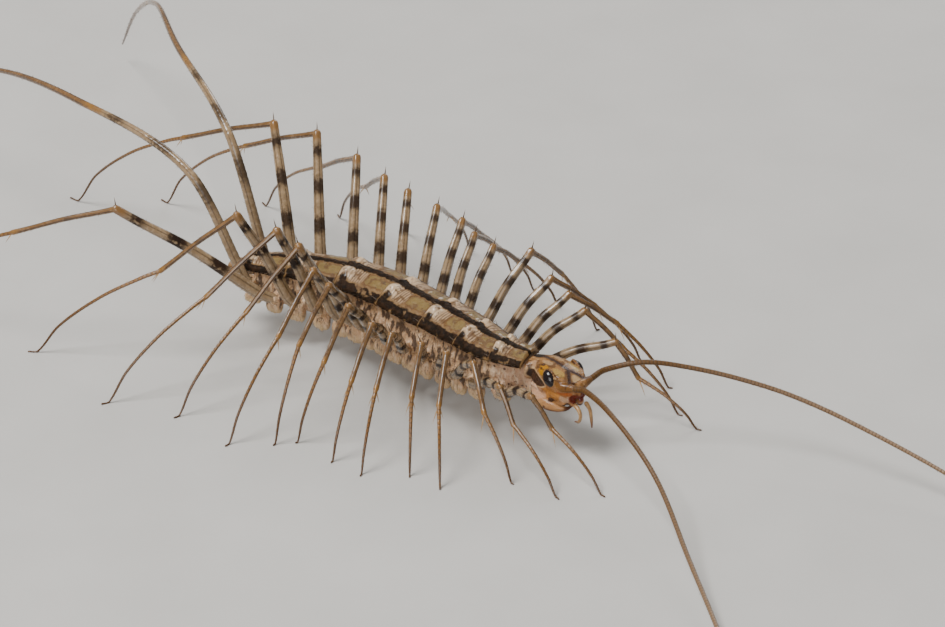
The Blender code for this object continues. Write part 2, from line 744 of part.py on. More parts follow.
def antenna_seat(side):
    """The middle of the socket face that carries an antenna."""
    ahead, left, up = ANTENNA_AT
    return head_point(ahead, side * left, up) + antenna_way(side) * SOCKET_REACH


def build_antennae():
    for side, label, route in ((1, "left", LEFT_ANTENNA), (-1, "right", RIGHT_ANTENNA)):
        points = [antenna_seat(side), *(Vector(p) for p in route)]
        long_feeler(f"antenna_{label}", points, ANTENNA_RADII, ANTENNA_SHARES, HORN, antenna_way(side))


def build_mouthparts():
    """The poison claws under the head, and the slender palps."""
    for side, label in ((1, "left"), (-1, "right")):
        claw = [head_point(a, side * b, c) for a, b, c in CLAW_ROUTE]
        node(f"forcipule_{label}", [tube(claw, CLAW_RADII, 6)], CLAW)
        palp = [head_point(*p) for p in (LEFT_PALP if side > 0 else RIGHT_PALP)]
        node(f"palp_{label}", [tube(palp, PALP_RADII, 6)], LEG_SHELL)


def main():
    build_trunk(random.Random(7))
    build_legs()
    build_head()
    build_antennae()
    build_mouthparts()


ANIMAL = bpy.data.objects.new("house_centipede", None)
bpy.context.scene.collection.objects.link(ANIMAL)
ANIMAL.location = Vector((-CENTRE_X, -CENTRE_Y, 0)) * MM
main()
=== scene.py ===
"""The looks of the house centipede, from its skin to the light and the camera.

Shapes are worked out in millimetres along the body's own line, as in the part.
add_piece() puts them in the frame.
"""

import math

import bpy
import numpy as np
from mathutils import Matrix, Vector


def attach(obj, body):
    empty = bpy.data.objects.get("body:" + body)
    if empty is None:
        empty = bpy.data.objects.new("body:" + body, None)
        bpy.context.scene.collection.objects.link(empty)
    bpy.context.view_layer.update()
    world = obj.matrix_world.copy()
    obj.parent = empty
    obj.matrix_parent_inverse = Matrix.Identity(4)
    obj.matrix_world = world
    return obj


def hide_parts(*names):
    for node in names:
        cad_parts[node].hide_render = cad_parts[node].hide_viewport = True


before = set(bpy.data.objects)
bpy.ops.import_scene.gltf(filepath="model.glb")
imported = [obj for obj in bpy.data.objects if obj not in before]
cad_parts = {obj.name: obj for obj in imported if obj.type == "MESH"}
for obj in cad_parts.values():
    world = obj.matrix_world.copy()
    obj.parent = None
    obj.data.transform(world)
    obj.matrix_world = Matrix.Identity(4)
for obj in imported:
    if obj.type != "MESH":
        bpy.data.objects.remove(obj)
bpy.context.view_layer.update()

MM = 0.001
CENTRE = np.array((-6.2, 1.5, 0.0))

BODY_END = 30.0
BODY_FRONT_X = 14.74
BODY_FRONT_Y = -1.35
HEADING_STATIONS = (0, 4, 8, 12, 16, 20, 24, 30)
HEADINGS = (-17, 6, -17, -11, -12, 4, 14, 16)
AXIS_STEP = 0.1
NECK = 3.9
TERGITE_ENDS = (NECK, 5.8, 8.5, 12.2, 16.4, 20.9, 25.0, 28.4)
LEGS_IN_TERGITE = (1, 2, 2, 3, 3, 2, 2)
WIDTH_STATIONS = (3, 5, 8, 12, 18, 23, 27, 30)
HALF_WIDTHS = (1.15, 1.55, 1.9, 2.1, 2.15, 1.9, 1.4, 0.6)
TOPS = (5.45, 5.65, 5.85, 5.9, 5.9, 5.75, 5.3, 4.5)
BOTTOMS = (3.3, 2.6, 1.9, 1.7, 1.7, 1.9, 2.4, 3.3)
SECTION = (
    (0.42, 0.985), (0.78, 0.93), (1.0, 0.81), (0.9, 0.69),
    (1.0, 0.52), (0.96, 0.32), (0.68, 0.1), (0.25, 0.0),
)
COXA_HEIGHT = 3.3
COXA_REACH = 0.42
RIGHT_LEGS = (
    ((2.0, 3.7, 4.9), (1.9, 5.2, 2.9), (3.3, 10.0)),
    ((1.7, 4.2, 5.3), (1.9, 5.6, 3.1), (2.9, 10.6)),
    ((1.3, 3.8, 6.2), (2.5, 6.5, 4.1), (2.3, 9.3)),
    ((2.0, 3.6, 6.4), (4.2, 5.7, 4.2), (6.3, 8.6)),
    ((2.9, 3.3, 6.6), (5.6, 5.4, 4.5), (7.4, 7.2)),
    ((3.6, 2.7, 6.7), (6.6, 4.5, 4.5), (9.7, 6.4)),
    ((3.8, 2.6, 6.9), (7.1, 4.4, 4.6), (9.8, 5.5)),
    ((4.0, 1.9, 7.5), (7.8, 3.9, 5.5), (9.9, 3.4)),
    ((4.2, 1.1, 8.4), (8.4, 2.6, 6.1), (11.4, 3.2)),
    ((4.1, 0.2, 8.9), (8.4, 0.7, 5.9), (13.8, 0.6)),
    ((3.4, -0.7, 9.9), (6.9, -2.7, 5.9), (12.6, -4.7)),
    ((3.0, -1.4, 10.4), (6.5, -5.0, 6.2), (12.8, -9.6)),
    ((2.4, -3.0, 10.6), (4.2, -8.0, 6.3), (7.6, -16.6)),
    ((4.2, -9.4, 10.4), (5.4, -16.7, 7.9), (5.6, -28.4)),
)
LEFT_LEGS = (
    ((2.6, 5.0, 5.4), (2.9, 6.6, 3.0), (3.6, 11.0)),
    ((3.8, 2.5, 6.5), (5.2, 4.7, 4.0), (6.4, 9.0)),
    ((4.2, 1.1, 6.9), (7.0, 2.8, 4.5), (9.4, 5.8)),
    ((4.2, 0.6, 7.2), (7.2, 1.6, 4.6), (10.2, 3.4)),
    ((4.6, 0.3, 8.0), (7.6, 0.2, 5.2), (10.6, 0.8)),
    ((4.2, -1.3, 7.2), (7.2, -1.7, 4.8), (11.0, -1.6)),
    ((4.0, -1.8, 7.5), (7.2, -2.8, 5.0), (11.4, -3.6)),
    ((4.1, -1.8, 8.0), (7.4, -3.4, 5.2), (12.0, -5.2)),
    ((4.4, -2.6, 8.0), (7.8, -4.8, 5.4), (12.6, -7.4)),
    ((4.6, -2.8, 8.4), (8.0, -5.6, 5.6), (12.8, -9.6)),
    ((5.2, -2.7, 8.8), (8.4, -6.4, 5.8), (13.2, -12.0)),
    ((5.6, -2.4, 9.8), (8.8, -7.2, 6.6), (13.6, -14.6)),
    ((5.7, -2.7, 11.2), (8.0, -9.4, 8.0), (12.4, -18.4)),
    ((6.0, -3.9, 11.4), (7.0, -11.4, 8.6), (11.0, -22.6)),
)
TRAIL_HEIGHT = 4.1
RIGHT_TRAIL = (
    (-16.7, -2.4, 11.5), (-28.1, -0.7, 13.0), (-38.7, 2.6, 11.2),
    (-50.0, 6.2, 6.4), (-59.0, 8.4, 1.4),
)
LEFT_TRAIL = (
    (-16.2, 1.6, 12.8), (-25.6, 7.6, 14.6), (-33.5, 14.6, 13.4),
    (-42.0, 22.0, 8.0), (-48.5, 27.6, 1.6),
)
HEAD_AT = (13.79, -1.34, 4.9)
HEAD_YAW = -17
NECK_HEIGHT = 4.7
NECK_RING = (1.05, 0.6, -0.95)
HEAD_RINGS = (
    (-1.75, 1.02, 0.63, -0.95),
    (-1.2, 1.18, 0.72, -1.08),
    (-0.6, 1.28, 0.77, -1.15),
    (0.2, 1.32, 0.76, -1.2),
    (0.95, 1.2, 0.62, -1.2),
    (1.5, 0.9, 0.38, -1.15),
    (1.8, 0.52, 0.08, -0.95),
)
EYE_AT = (0.15, 0.8, 0.12)
ANTENNA_AT = (1.66, 0.72, -0.02)
RIGHT_ANTENNA = (
    (16.4, -2.5, 5.1), (18.9, -3.6, 5.0), (22.7, -5.4, 4.0), (25.5, -7.1, 3.0),
    (29.8, -10.7, 1.6), (35.0, -15.4, 0.8), (40.0, -20.4, 0.4), (43.6, -24.6, 0.3),
)
LEFT_ANTENNA = (
    (15.9, 0.6, 5.1), (17.9, 2.2, 5.6), (20.4, 3.8, 5.3), (23.5, 5.2, 4.8),
    (26.8, 6.2, 4.2), (30.9, 6.7, 3.4), (37.8, 6.8, 2.0), (46.6, 5.6, 0.5),
)
CLAW_ROUTE = (
    (-1.3, 0.97, -1.75), (-0.2, 1.12, -1.9), (0.8, 0.92, -1.95), (1.3, 0.55, -1.9), (1.45, 0.25, -1.75),
)
RIGHT_PALP = (
    (1.95, -0.35, -1.3), (2.35, -0.4, -1.45), (2.54, -0.4, -1.8), (2.3, -0.32, -2.35), (1.8, -0.24, -2.6),
)
LEFT_PALP = ((1.88, 0.62, -1.5), (2.12, 0.72, -1.9), (2.22, 0.76, -2.49), (2.36, 0.72, -3.1))
# Sizes that only the looks use, in millimetres and degrees
SOCKET_REACH = 0.24
EYE_YAW = 8
EYE_LEAN = 48
EYE_SIZE = (0.48, 0.63, 0.47)
EYE_LIFT = 0.27
RIM_SIZE = 0.1
RIM_REACH = (0.45, 0.6)
RIM_BEADS = 18
# The beaded ridge from the eye to the front of the head, seen from above on one side
RIDGE = ((0.6, 1.1, 0.36), (0.95, 1.0, 0.37), (1.3, 0.78, 0.31), (1.56, 0.5, 0.24), (1.7, 0.2, 0.18))
RIDGE_SIZE = 0.085
RIDGE_BEADS = 17
# Where the claw's root starts in the head, how far its route is raised, and its radii
CLAW_ROOT = (-1.5, 0.5, -1.45)
CLAW_RAISE = 0.16
CLAW_SIZES = (0.3, 0.44, 0.46, 0.38, 0.22, 0.06)
PALP_SIZES = (0.16, 0.13, 0.12, 0.1, 0.05)
LEG_SIDES = 20
FOOT_SIDES = 12
FEELER_SIDES = 14
FEMUR_GROWTH = (0.92, 0.014)
FEMUR_RADII = (0.34, 0.39, 0.365, 0.345, 0.325, 0.31, 0.285, 0.27)
SHIN_RADII = (0.21, 0.185, 0.178, 0.172, 0.165, 0.185)
FOOT_RADII = (0.15, 0.13, 0.12, 0.11, 0.1, 0.085, 0.06)
FEELER_RADII = (0.22, 0.175, 0.165, 0.16, 0.155, 0.145, 0.13, 0.11, 0.07)
TRAIL_RADII = (0.38, 0.34, 0.29, 0.25, 0.22, 0.19, 0.17, 0.15, 0.12, 0.07)
# How far apart the beads of feet, feelers and trailing legs are, and the rows of a long tube
FOOT_RING = 0.33
FEELER_RING = 0.25
TRAIL_RING = 0.5
RING_ROW = 0.055
# A tube's rounded ends, as degrees round from the tip
ROUND_END = (86, 60, 32)
# The trunk's skin: its fineness, the rows of its core, and each leg's lobes by place and size
SKIN_VOXEL = 0.09
SKIN_ROWS = (3.5, 29.86, 0.18)
LOBES = ((0.0, 1.0), (0.34, 0.78), (-0.36, 0.7))
# Back plates: fineness, ripple length, the domes' rise, and how they fall away to the sides
PLATE_ROW = 0.035
PLATE_COLUMNS = 91
PLEAT = 0.21
DOME_RISE = 0.32
PLATE_FALL = 0.2
PLATE_CURVE = 2.4
# Soft lobes under the neck, in the head's frame on one side: middles and half sizes
THROAT = (
    ((-2.95, 0.7, -1.4), (0.75, 0.5, 0.62)),
    ((-2.1, 0.78, -1.42), (0.75, 0.46, 0.62)),
    ((-1.3, 0.8, -1.3), (0.65, 0.4, 0.5)),
)
# Lobes that are fused into the head on each side, and on its middle line: middles and half sizes
HEAD_VOXEL = 0.04
HEAD_INSET = 0.97
HEAD_LOBES = (
    ((0.45, 0.72, -0.92), (0.85, 0.5, 0.4)),
    ((-0.7, 0.82, -0.8), (0.85, 0.42, 0.5)),
    ((-1.45, 0.7, -0.6), (0.6, 0.45, 0.52)),
    ((1.15, 0.5, -0.95), (0.6, 0.4, 0.36)),
    ((0.7, 0.38, -1.3), (0.7, 0.34, 0.4)),
    ((0.75, 0.72, -1.3), (0.65, 0.3, 0.36)),
    ((-0.1, 0.85, -1.3), (0.75, 0.34, 0.36)),
    ((1.45, 0.3, -1.25), (0.42, 0.27, 0.32)),
)
FACE_LOBES = (((1.55, 0, -0.72), (0.42, 0.5, 0.3)), ((1.25, 0, 0.06), (0.46, 0.6, 0.34)))
# Spines and hairs: the random seed, the ankle spur, a spine's rings, lowest point and map patch
SEED = 11
SPUR_LENGTH = 1.3
SPINE_LEVELS = (-0.08, 0.35, 0.7, 1.0)
SPINE_TAPER = (1.0, 0.78, 0.45, 0.06)
SPINE_FLOOR = 0.004
SPINE_PATCH = 0.003
# For femur, shin and foot: count, the tube's sides, reach along it, length, ridges, radius and tones
LEG_HAIRS = (
    (44, LEG_SIDES, (0.05, 0.97), 0.2, 5, 0.014, (0.0, 0.35)),
    (26, LEG_SIDES, (0.05, 0.97), 0.15, 4, 0.014, (0.0, 0.35)),
    (70, FOOT_SIDES, (0.02, 0.99), 0.11, 0, 0.009, (0.3, 0.9)),
)
# For feelers and trailing legs: count, lean, lengths, radius, tones, and the OFBake map's strip and strips
FEELER_HAIRS = (420, 0.75, (0.07, 0.15), 0.008, (0.2, 0.6), 30, 33)
TRAIL_HAIRS = (260, 0.7, (0.1, 0.22), 0.011, (0.0, 0.4), 31, 34)
LOBE_HAIRS = 1300
FLANK_HAIRS = 420
PLATE_SPINES = (-0.95, -0.62, -0.3, -0.12, 0.12, 0.3, 0.62, 0.95)
EDGE_BRISTLES = 9

# Markings of the head in its own frame: middles, half sizes, strengths and colours
HEAD_PATCHES = (
    ((0.05, 1.15, -0.86), (1.25, 0.6, 0.44), 0.85, (0.4, 0.185, 0.07)),
    ((-1.0, 1.1, -1.3), (0.9, 0.6, 0.45), 0.7, (0.56, 0.36, 0.25)),
    ((0.4, 1.1, -1.65), (1.1, 0.7, 0.34), 0.7, (0.44, 0.245, 0.125)),
    ((1.3, 0.75, -0.5), (0.5, 0.5, 0.2), 0.8, (0.4, 0.12, 0.05)),
    ((1.35, 0.75, -1.0), (0.4, 0.4, 0.2), 0.7, (0.56, 0.38, 0.26)),
    ((-1.8, 1.05, 0.1), (0.34, 0.6, 0.6), 0.6, (0.52, 0.34, 0.22)),
    ((1.5, 0.9, 0.04), (0.75, 0.5, 0.32), 0.95, (0.16, 0.075, 0.028)),
    ((1.42, 0.05, 0.38), (0.28, 0.38, 0.22), 0.75, (0.54, 0.38, 0.22)),
    ((0.6, 0.66, 0.66), (0.6, 0.26, 0.25), 0.75, (0.4, 0.27, 0.1)),
    ((-0.9, 0.45, 0.75), (0.6, 0.2, 0.3), 0.6, (0.48, 0.32, 0.18)),
    ((-0.6, 0.97, 0.4), (0.42, 0.36, 0.36), 0.95, (0.4, 0.185, 0.025)),
)
# The dark crescent behind the eye and its pale rim: middle, then half sizes and colours
CRESCENT_AT = (-1.15, 1.17, 0.0)
CRESCENT = (((1.08, 0.98, 0.57), (0.58, 0.4, 0.25)), ((0.95, 0.93, 0.46), (0.03, 0.012, 0.007)))
# Small dark spots: middles, half sizes and softness
HEAD_SPOTS = (
    ((-0.92, 0.76, 0.62), (0.13, 0.12, 0.2), 0.3),
    ((-0.8, 1.02, 0.5), (0.09, 0.09, 0.2), 0.3),
    ((0.9, 0.25, 0.66), (0.2, 0.14, 0.25), 0.4),
    ((0.35, 1.1, -1.3), (0.2, 0.5, 0.13), 0.3),
    ((1.4, 0.62, -1.42), (0.3, 0.3, 0.13), 0.3),
    ((1.05, 0.8, -1.2), (0.12, 0.2, 0.1), 0.3),
    ((-0.8, 1.0, -1.5), (0.2, 0.3, 0.12), 0.3),
)
SPOT_COLOUR = (0.04, 0.018, 0.012)
# Where the dark bands lie down the femur, and their colour
FEMUR_BANDS = ((0.31, 0.42), (0.575, 0.69), (0.835, 0.915))
BAND_COLOUR = (0.022, 0.014, 0.011)
# How much fuller and darker the base colours are made, where a look has no measure of its own
RICHNESS = (1.08, 0.86)
# How far red, green and blue light spreads under the surface
SPREAD = (1.0, 0.6, 0.35)

# The photo's view: turn and tilt in degrees, distance and aim in millimetres
VIEW_TURN = 36
VIEW_TILT = 28
VIEW_DISTANCE = 270
VIEW_AIM = (8.2, 3.54, 3.0)
VIEW_PIXELS_PER_MM = 14.7
IMAGE_WIDTH = 945
SENSOR_WIDTH = 36.0
# The studio, in metres: the floor's half side, light from all round, and lamps by place, power and width
FLOOR_HALF = 3.0
ROOM_COLOUR = (0.95, 0.93, 0.9)
ROOM_LIGHT = 0.26
LAMPS_AIM = Vector((0, 0, 0.004))
LAMPS = (
    ("key", (-0.13, -0.15, 0.42), 3.2, 0.2),
    ("fill", (0.16, -0.46, 0.2), 1.7, 0.3),
    ("rim", (-0.1, 0.45, 0.3), 1.2, 0.25),
)


# The body's line

def smooth_value(x, xs, ys):
    """A smooth curve through the points, read at x."""
    xs = np.asarray(xs, float)
    ys = np.asarray(ys, float)
    x = np.clip(np.asarray(x, float), xs[0], xs[-1])
    i = np.clip(np.searchsorted(xs, x, side="left") - 1, 0, len(xs) - 2)
    steps = np.arange(len(xs))
    low = np.maximum(steps - 1, 0)
    high = np.minimum(steps + 1, len(xs) - 1)
    slope = (ys[high] - ys[low]) / (xs[high] - xs[low])
    span = xs[i + 1] - xs[i]
    t = (x - xs[i]) / span
    start = ys[i] * (1 + 2 * t) * (1 - t) ** 2 + slope[i] * span * t * (1 - t) ** 2
    end = ys[i + 1] * t * t * (3 - 2 * t) - slope[i + 1] * span * t * t * (1 - t)
    return start + end


def smooth_point(x, xs, rows):
    """The same for rows of several numbers each."""
    return np.stack([smooth_value(x, xs, column) for column in np.transpose(rows)], -1)


def body_axis():
    """The middle line from the front: x, y and heading at each step."""
    x = BODY_FRONT_X
    y = BODY_FRONT_Y
    line = []
    for i in range(round(BODY_END / AXIS_STEP) + 8):
        angle = math.radians(float(smooth_value(i * AXIS_STEP, HEADING_STATIONS, HEADINGS)))
        line.append((x, y, angle))
        x -= math.cos(angle) * AXIS_STEP
        y -= math.sin(angle) * AXIS_STEP
    return np.array(line)


AXIS = body_axis()
UP = np.array((0.0, 0.0, 1.0))


def body_point(station, left, up):
    at = np.asarray(station, float) / AXIS_STEP
    steps = np.arange(len(AXIS))
    x, y, angle = (np.interp(at, steps, AXIS[:, k]) for k in range(3))
    return np.stack(np.broadcast_arrays(x - np.sin(angle) * left, y + np.cos(angle) * left, up), -1)


def ways_at(angle):
    """The ways forward and to the left of a heading."""
    return np.array((math.cos(angle), math.sin(angle), 0)), np.array((-math.sin(angle), math.cos(angle), 0))


def body_ways(station):
    return ways_at(AXIS[int(round(station / AXIS_STEP))][2])


def sizes_at(station):
    """Half width, top and bottom of the trunk."""
    return tuple(smooth_value(station, WIDTH_STATIONS, row) for row in (HALF_WIDTHS, TOPS, BOTTOMS))


def body_place(points):
    """Station, share of the half width to the left, and share of the height, of points in millimetres."""
    found = []
    for block in np.array_split(points, max(1, len(points) // 20000)):
        found.append(((block[:, None, :2] - AXIS[None, :, :2]) ** 2).sum(-1).argmin(1))
    at = np.concatenate(found)
    angle = AXIS[at, 2]
    left = (points[:, 1] - AXIS[at, 1]) * np.cos(angle) - (points[:, 0] - AXIS[at, 0]) * np.sin(angle)
    station = at * AXIS_STEP
    width, top, bottom = sizes_at(station)
    return np.stack((station, left / width, (points[:, 2] - bottom) / (top - bottom)), -1)


def unit(v):
    v = np.asarray(v, float)
    return v / np.linalg.norm(v, axis=-1, keepdims=True)


def ease(x, low, high):
    """0 at low and 1 at high, smooth between them, also where high is the lower."""
    t = np.clip((x - low) / (high - low), 0, 1)
    return t * t * (3 - 2 * t)


def bell(x, width):
    return np.exp(-((x / width) ** 2))


# Mesh parts: each is points in millimetres, faces, and the place attribute of its points

def grid_faces(rows, columns, wrap=True):
    r, c = np.meshgrid(np.arange(rows - 1), np.arange(columns if wrap else columns - 1), indexing="ij")
    a = r * columns + c
    b = r * columns + (c + 1) % columns
    return np.stack((a, b, b + columns, a + columns), -1).reshape(-1, 4).tolist()


def capped_faces(rows, columns):
    """The faces of rings one after the other, with both ends closed."""
    ends = [list(range(columns))[::-1], list(range((rows - 1) * columns, rows * columns))]
    return grid_faces(rows, columns) + ends


def loft(rings):
    rings = np.asarray(rings, float)
    rows, columns = rings.shape[:2]
    return rings.reshape(-1, 3), capped_faces(rows, columns), np.zeros((rows * columns, 3))


def ball(centre, sizes, ways, rows=14, columns=20):
    """A rounded lobe with its half sizes along three ways."""
    tilt = np.linspace(-0.497, 0.497, rows) * np.pi
    turn = np.arange(columns) / columns * 2 * np.pi
    a, b, c = (np.asarray(w, float) for w in ways)
    flat = np.cos(tilt)[:, None, None]
    ring = a * sizes[0] * np.cos(turn)[None, :, None] + b * sizes[1] * np.sin(turn)[None, :, None]
    return loft(centre + flat * ring + c * sizes[2] * np.sin(tilt)[:, None, None])


def carried_ways(way):
    """Ways across and above a path that don't twist round it."""
    side = np.cross(way[0], UP)
    if np.linalg.norm(side) < 0.1:
        side = np.array((0.0, 1.0, 0.0))
    across = []
    for w in way:
        side = unit(side - w * side.dot(w))
        across.append(side)
    across = np.array(across)
    return across, np.cross(across, way)


def tube(path, radii, rings, sides, shares=(0.0, 1.0), ridges=(0, 0.0), beads=(0.0, 0.0), grounded=False):
    """A round-ended tube along a smooth path, ridges by count and height, beads by spacing and depth.

    Its place is a share with this start and span, its turn folded to 0..1, and its length so far.
    """
    path = np.asarray(path, float)
    lengths = np.concatenate(([0.0], np.cumsum(np.linalg.norm(np.diff(path, axis=0), axis=1))))
    share = np.linspace(0, 1, rings)
    along = share * lengths[-1]
    at = smooth_point(along, lengths, path)
    size = smooth_value(share, np.linspace(0, 1, len(radii)), radii)
    if beads[0]:
        size = size * (1 - beads[1] * (0.5 + 0.5 * np.cos(2 * np.pi * along / beads[0])) ** 3)
    way = unit(np.gradient(at, axis=0))
    ends = np.radians(ROUND_END)
    added = len(ends)
    front = at[0] - way[0] * (size[0] * np.sin(ends))[:, None]
    rear = at[-1] + way[-1] * (size[-1] * np.sin(ends[::-1]))[:, None]
    at = np.concatenate((front, at, rear))
    size = np.concatenate((size[0] * np.cos(ends), size, size[-1] * np.cos(ends[::-1])))
    way = np.concatenate((np.repeat(way[:1], added, 0), way, np.repeat(way[-1:], added, 0)))
    share = np.concatenate(([0] * added, share, [1] * added))
    along = np.concatenate(([0] * added, along, [along[-1]] * added))
    across, above = carried_ways(way)
    turn = np.arange(sides) / sides
    wave = 1 + ridges[1] * np.cos(2 * np.pi * turn * ridges[0])
    c = (np.cos(2 * np.pi * turn) * wave)[None, :, None]
    s = (np.sin(2 * np.pi * turn) * wave)[None, :, None]
    points = at[:, None] + (above[:, None] * s - across[:, None] * c) * size[:, None, None]
    if grounded:
        points[..., 2] = np.maximum(points[..., 2], 0.0)
    fold = np.abs(2 * turn - 1)
    start, span = shares
    place = np.stack(np.broadcast_arrays((start + share * span)[:, None], fold[None], along[:, None]), -1)
    return points.reshape(-1, 3), capped_faces(len(at), sides), place.reshape(-1, 3)


def long_tube(points, radii, ring, sides, shares=(0.0, 1.0)):
    length = sum(np.linalg.norm(b - a) for a, b in zip(points, points[1:]))
    return tube(points, radii, round(length / RING_ROW), sides, shares, beads=(ring, 0.035), grounded=True)


def joined(parts):
    points, faces, places = zip(*parts)
    starts = np.cumsum([0, *map(len, points)]).tolist()
    shape = [[i + start for i in face] for start, group in zip(starts, faces) for face in group]
    return np.concatenate(points), shape, np.concatenate(places)


def fused(parts, voxel, rounds):
    """One seamless skin round the parts, as points in millimetres and faces."""
    points, faces, _ = joined(parts)
    mesh = bpy.data.meshes.new("fuse")
    mesh.from_pydata(points.tolist(), [], faces)
    lump = bpy.data.objects.new("fuse", mesh)
    bpy.context.scene.collection.objects.link(lump)
    remesh = lump.modifiers.new("skin", "REMESH")
    remesh.mode = "VOXEL"
    remesh.voxel_size = voxel
    smooth = lump.modifiers.new("smooth", "SMOOTH")
    smooth.factor = 0.6
    smooth.iterations = rounds
    bpy.context.view_layer.update()
    done = bpy.data.meshes.new_from_object(lump.evaluated_get(bpy.context.evaluated_depsgraph_get()))
    found = np.empty(len(done.vertices) * 3)
    done.vertices.foreach_get("co", found)
    shape = [list(face.vertices) for face in done.polygons]
    bpy.data.objects.remove(lump)
    bpy.data.meshes.remove(mesh)
    bpy.data.meshes.remove(done)
    return found.reshape(-1, 3), shape


def add_piece(name, part, look, nodes=(), bake=None):
    """Makes a visible piece of a mesh part, riding on the body."""
    points, faces, place = part
    mesh = bpy.data.meshes.new(name)
    mesh.from_pydata(((points - CENTRE) * MM).tolist(), [], faces)
    held = mesh.attributes.new("place", "FLOAT_VECTOR", "POINT")
    held.data.foreach_set("vector", np.ascontiguousarray(place, np.float32).ravel())
    if bake is not None:
        layer = mesh.uv_layers.new(name="OFBake")
        corners = np.empty(len(mesh.loops), np.int32)
        mesh.loops.foreach_get("vertex_index", corners)
        layer.data.foreach_set("uv", np.ascontiguousarray(bake[corners], np.float32).ravel())
    mesh.shade_smooth()
    mesh.materials.append(look)
    made = bpy.data.objects.new(name, mesh)
    bpy.context.scene.collection.objects.link(made)
    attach(made, "root")
    if nodes:
        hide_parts(*nodes)


# Materials

def put(tree, socket, value):
    """Gives a socket a value that is worked out, a colour or a number."""
    if isinstance(value, Value):
        tree.links.new(value.socket, socket)
    elif socket.type == "RGBA":
        socket.default_value = (*value, 1.0)
    else:
        socket.default_value = value


def add_node(tree, kind, inputs, output=0, **settings):
    """Adds a node with its inputs and settings, and gives one of its outputs as a value."""
    made = tree.nodes.new("ShaderNode" + kind)
    for name, setting in settings.items():
        setattr(made, name, setting)
    for name, value in inputs.items():
        put(tree, made.inputs[name], value)
    return Value(tree, made.outputs[output])


def maths(operation, swapped=False):
    """A way to work a new value out of one value and, where there are two, another."""
    def method(self, other=0.0):
        a, b = (other, self) if swapped else (self, other)
        return add_node(self.tree, "Math", {0: a, 1: b}, operation=operation)
    return method


class Value:
    """A number or colour that a material works out at each point."""

    __add__ = maths("ADD")
    __sub__ = maths("SUBTRACT")
    __rsub__ = maths("SUBTRACT", True)
    __mul__ = maths("MULTIPLY")
    __truediv__ = maths("DIVIDE")
    __abs__ = maths("ABSOLUTE")
    most = maths("MAXIMUM")
    sine = maths("SINE")
    cosine = maths("COSINE")

    def __init__(self, tree, socket):
        self.tree = tree
        self.socket = socket

    def wave(self, length):
        """A wave that comes back after this length."""
        return (self * (2 * math.pi / length)).cosine()

    def step(self, low, high):
        """0 below low, 1 above high, smooth between them. With low over high it falls."""
        start, end = (0.0, 1.0) if low < high else (1.0, 0.0)
        ends = {"From Min": min(low, high), "From Max": max(low, high), "To Min": start, "To Max": end}
        return add_node(self.tree, "MapRange", {"Value": self, **ends}, interpolation_type="SMOOTHSTEP")

    def band(self, low, high, soft):
        return self.step(low - soft, low + soft) * self.step(high + soft, high - soft)

    def shaken(self, noise, amount):
        """The value moved up and down by noise."""
        return self + (noise - 0.5) * amount


def spot(place, centre, radii, soft=0.35):
    """1 inside an oval about a place, falling to 0 over its edge."""
    a, b, c = ((value - middle) / radius for value, middle, radius in zip(place, centre, radii))
    return (a * a + b * b + c * c).step(1 + soft, 1 - soft)


class Look:
    """A material with short ways to add its nodes."""

    def __init__(self, name):
        self.material = bpy.data.materials.new(name)
        self.material.use_nodes = True
        self.tree = self.material.node_tree

    def add(self, kind, inputs, output=0, **settings):
        return add_node(self.tree, kind, inputs, output, **settings)

    def place(self):
        vector = self.add("Attribute", {}, "Vector", attribute_name="place")
        parts = self.add("SeparateXYZ", {0: vector}).socket.node.outputs
        return [Value(self.tree, socket) for socket in parts]

    def noise(self, grain, detail=3.0, stretch=(1, 1, 1)):
        """Noise of about this grain in millimetres, stretched by three scales."""
        scale = tuple(1 / MM / grain * s for s in stretch)
        at = self.add("Mapping", {"Vector": self.add("TexCoord", {}, "Object"), "Scale": scale})
        return self.add("TexNoise", {"Vector": at, "Scale": 1.0, "Detail": detail}, "Fac")

    def cells(self, grain):
        """How far a point is from the middle of its cell, for cells of about this grain in millimetres."""
        at = self.add("TexCoord", {}, "Object")
        return self.add("TexVoronoi", {"Vector": at, "Scale": 1 / MM / grain}, "Distance")

    def mix(self, share, a, b):
        return self.add("Mix", {0: share, 6: a, 7: b}, 2, data_type="RGBA", clamp_factor=True)

    def layers(self, base, *coats):
        """A base colour under coats, each with its share and its colour."""
        for share, colour in coats:
            base = self.mix(share, base, colour)
        return base

    def surface(self, **values):
        """Gives the shader's sockets their values. An underscore stands for a space in a socket's name."""
        for name, value in values.items():
            put(self.tree, self.tree.nodes["Principled BSDF"].inputs[name.replace("_", " ")], value)

    def colour(self, richness, base, *coats):
        """The surface's colour, made fuller and darker by the two measures of richness."""
        inputs = {"Saturation": richness[0], "Value": richness[1], "Color": self.layers(base, *coats)}
        self.surface(Base_Color=self.add("HueSaturation", inputs))

    def gloss(self, rough, shine=0.5, coat=0.0, coat_rough=0.03):
        self.surface(Roughness=rough, Specular_IOR_Level=shine, Coat_Weight=coat, Coat_Roughness=coat_rough)

    def bump(self, height, distance, strength):
        inputs = {"Strength": strength, "Distance": distance * MM, "Height": height}
        self.surface(Normal=self.add("Bump", inputs))

    def glow(self, weight, scale):
        """Light that passes a little way in, as through thin cuticle."""
        self.surface(Subsurface_Weight=weight, Subsurface_Radius=SPREAD, Subsurface_Scale=scale * MM)


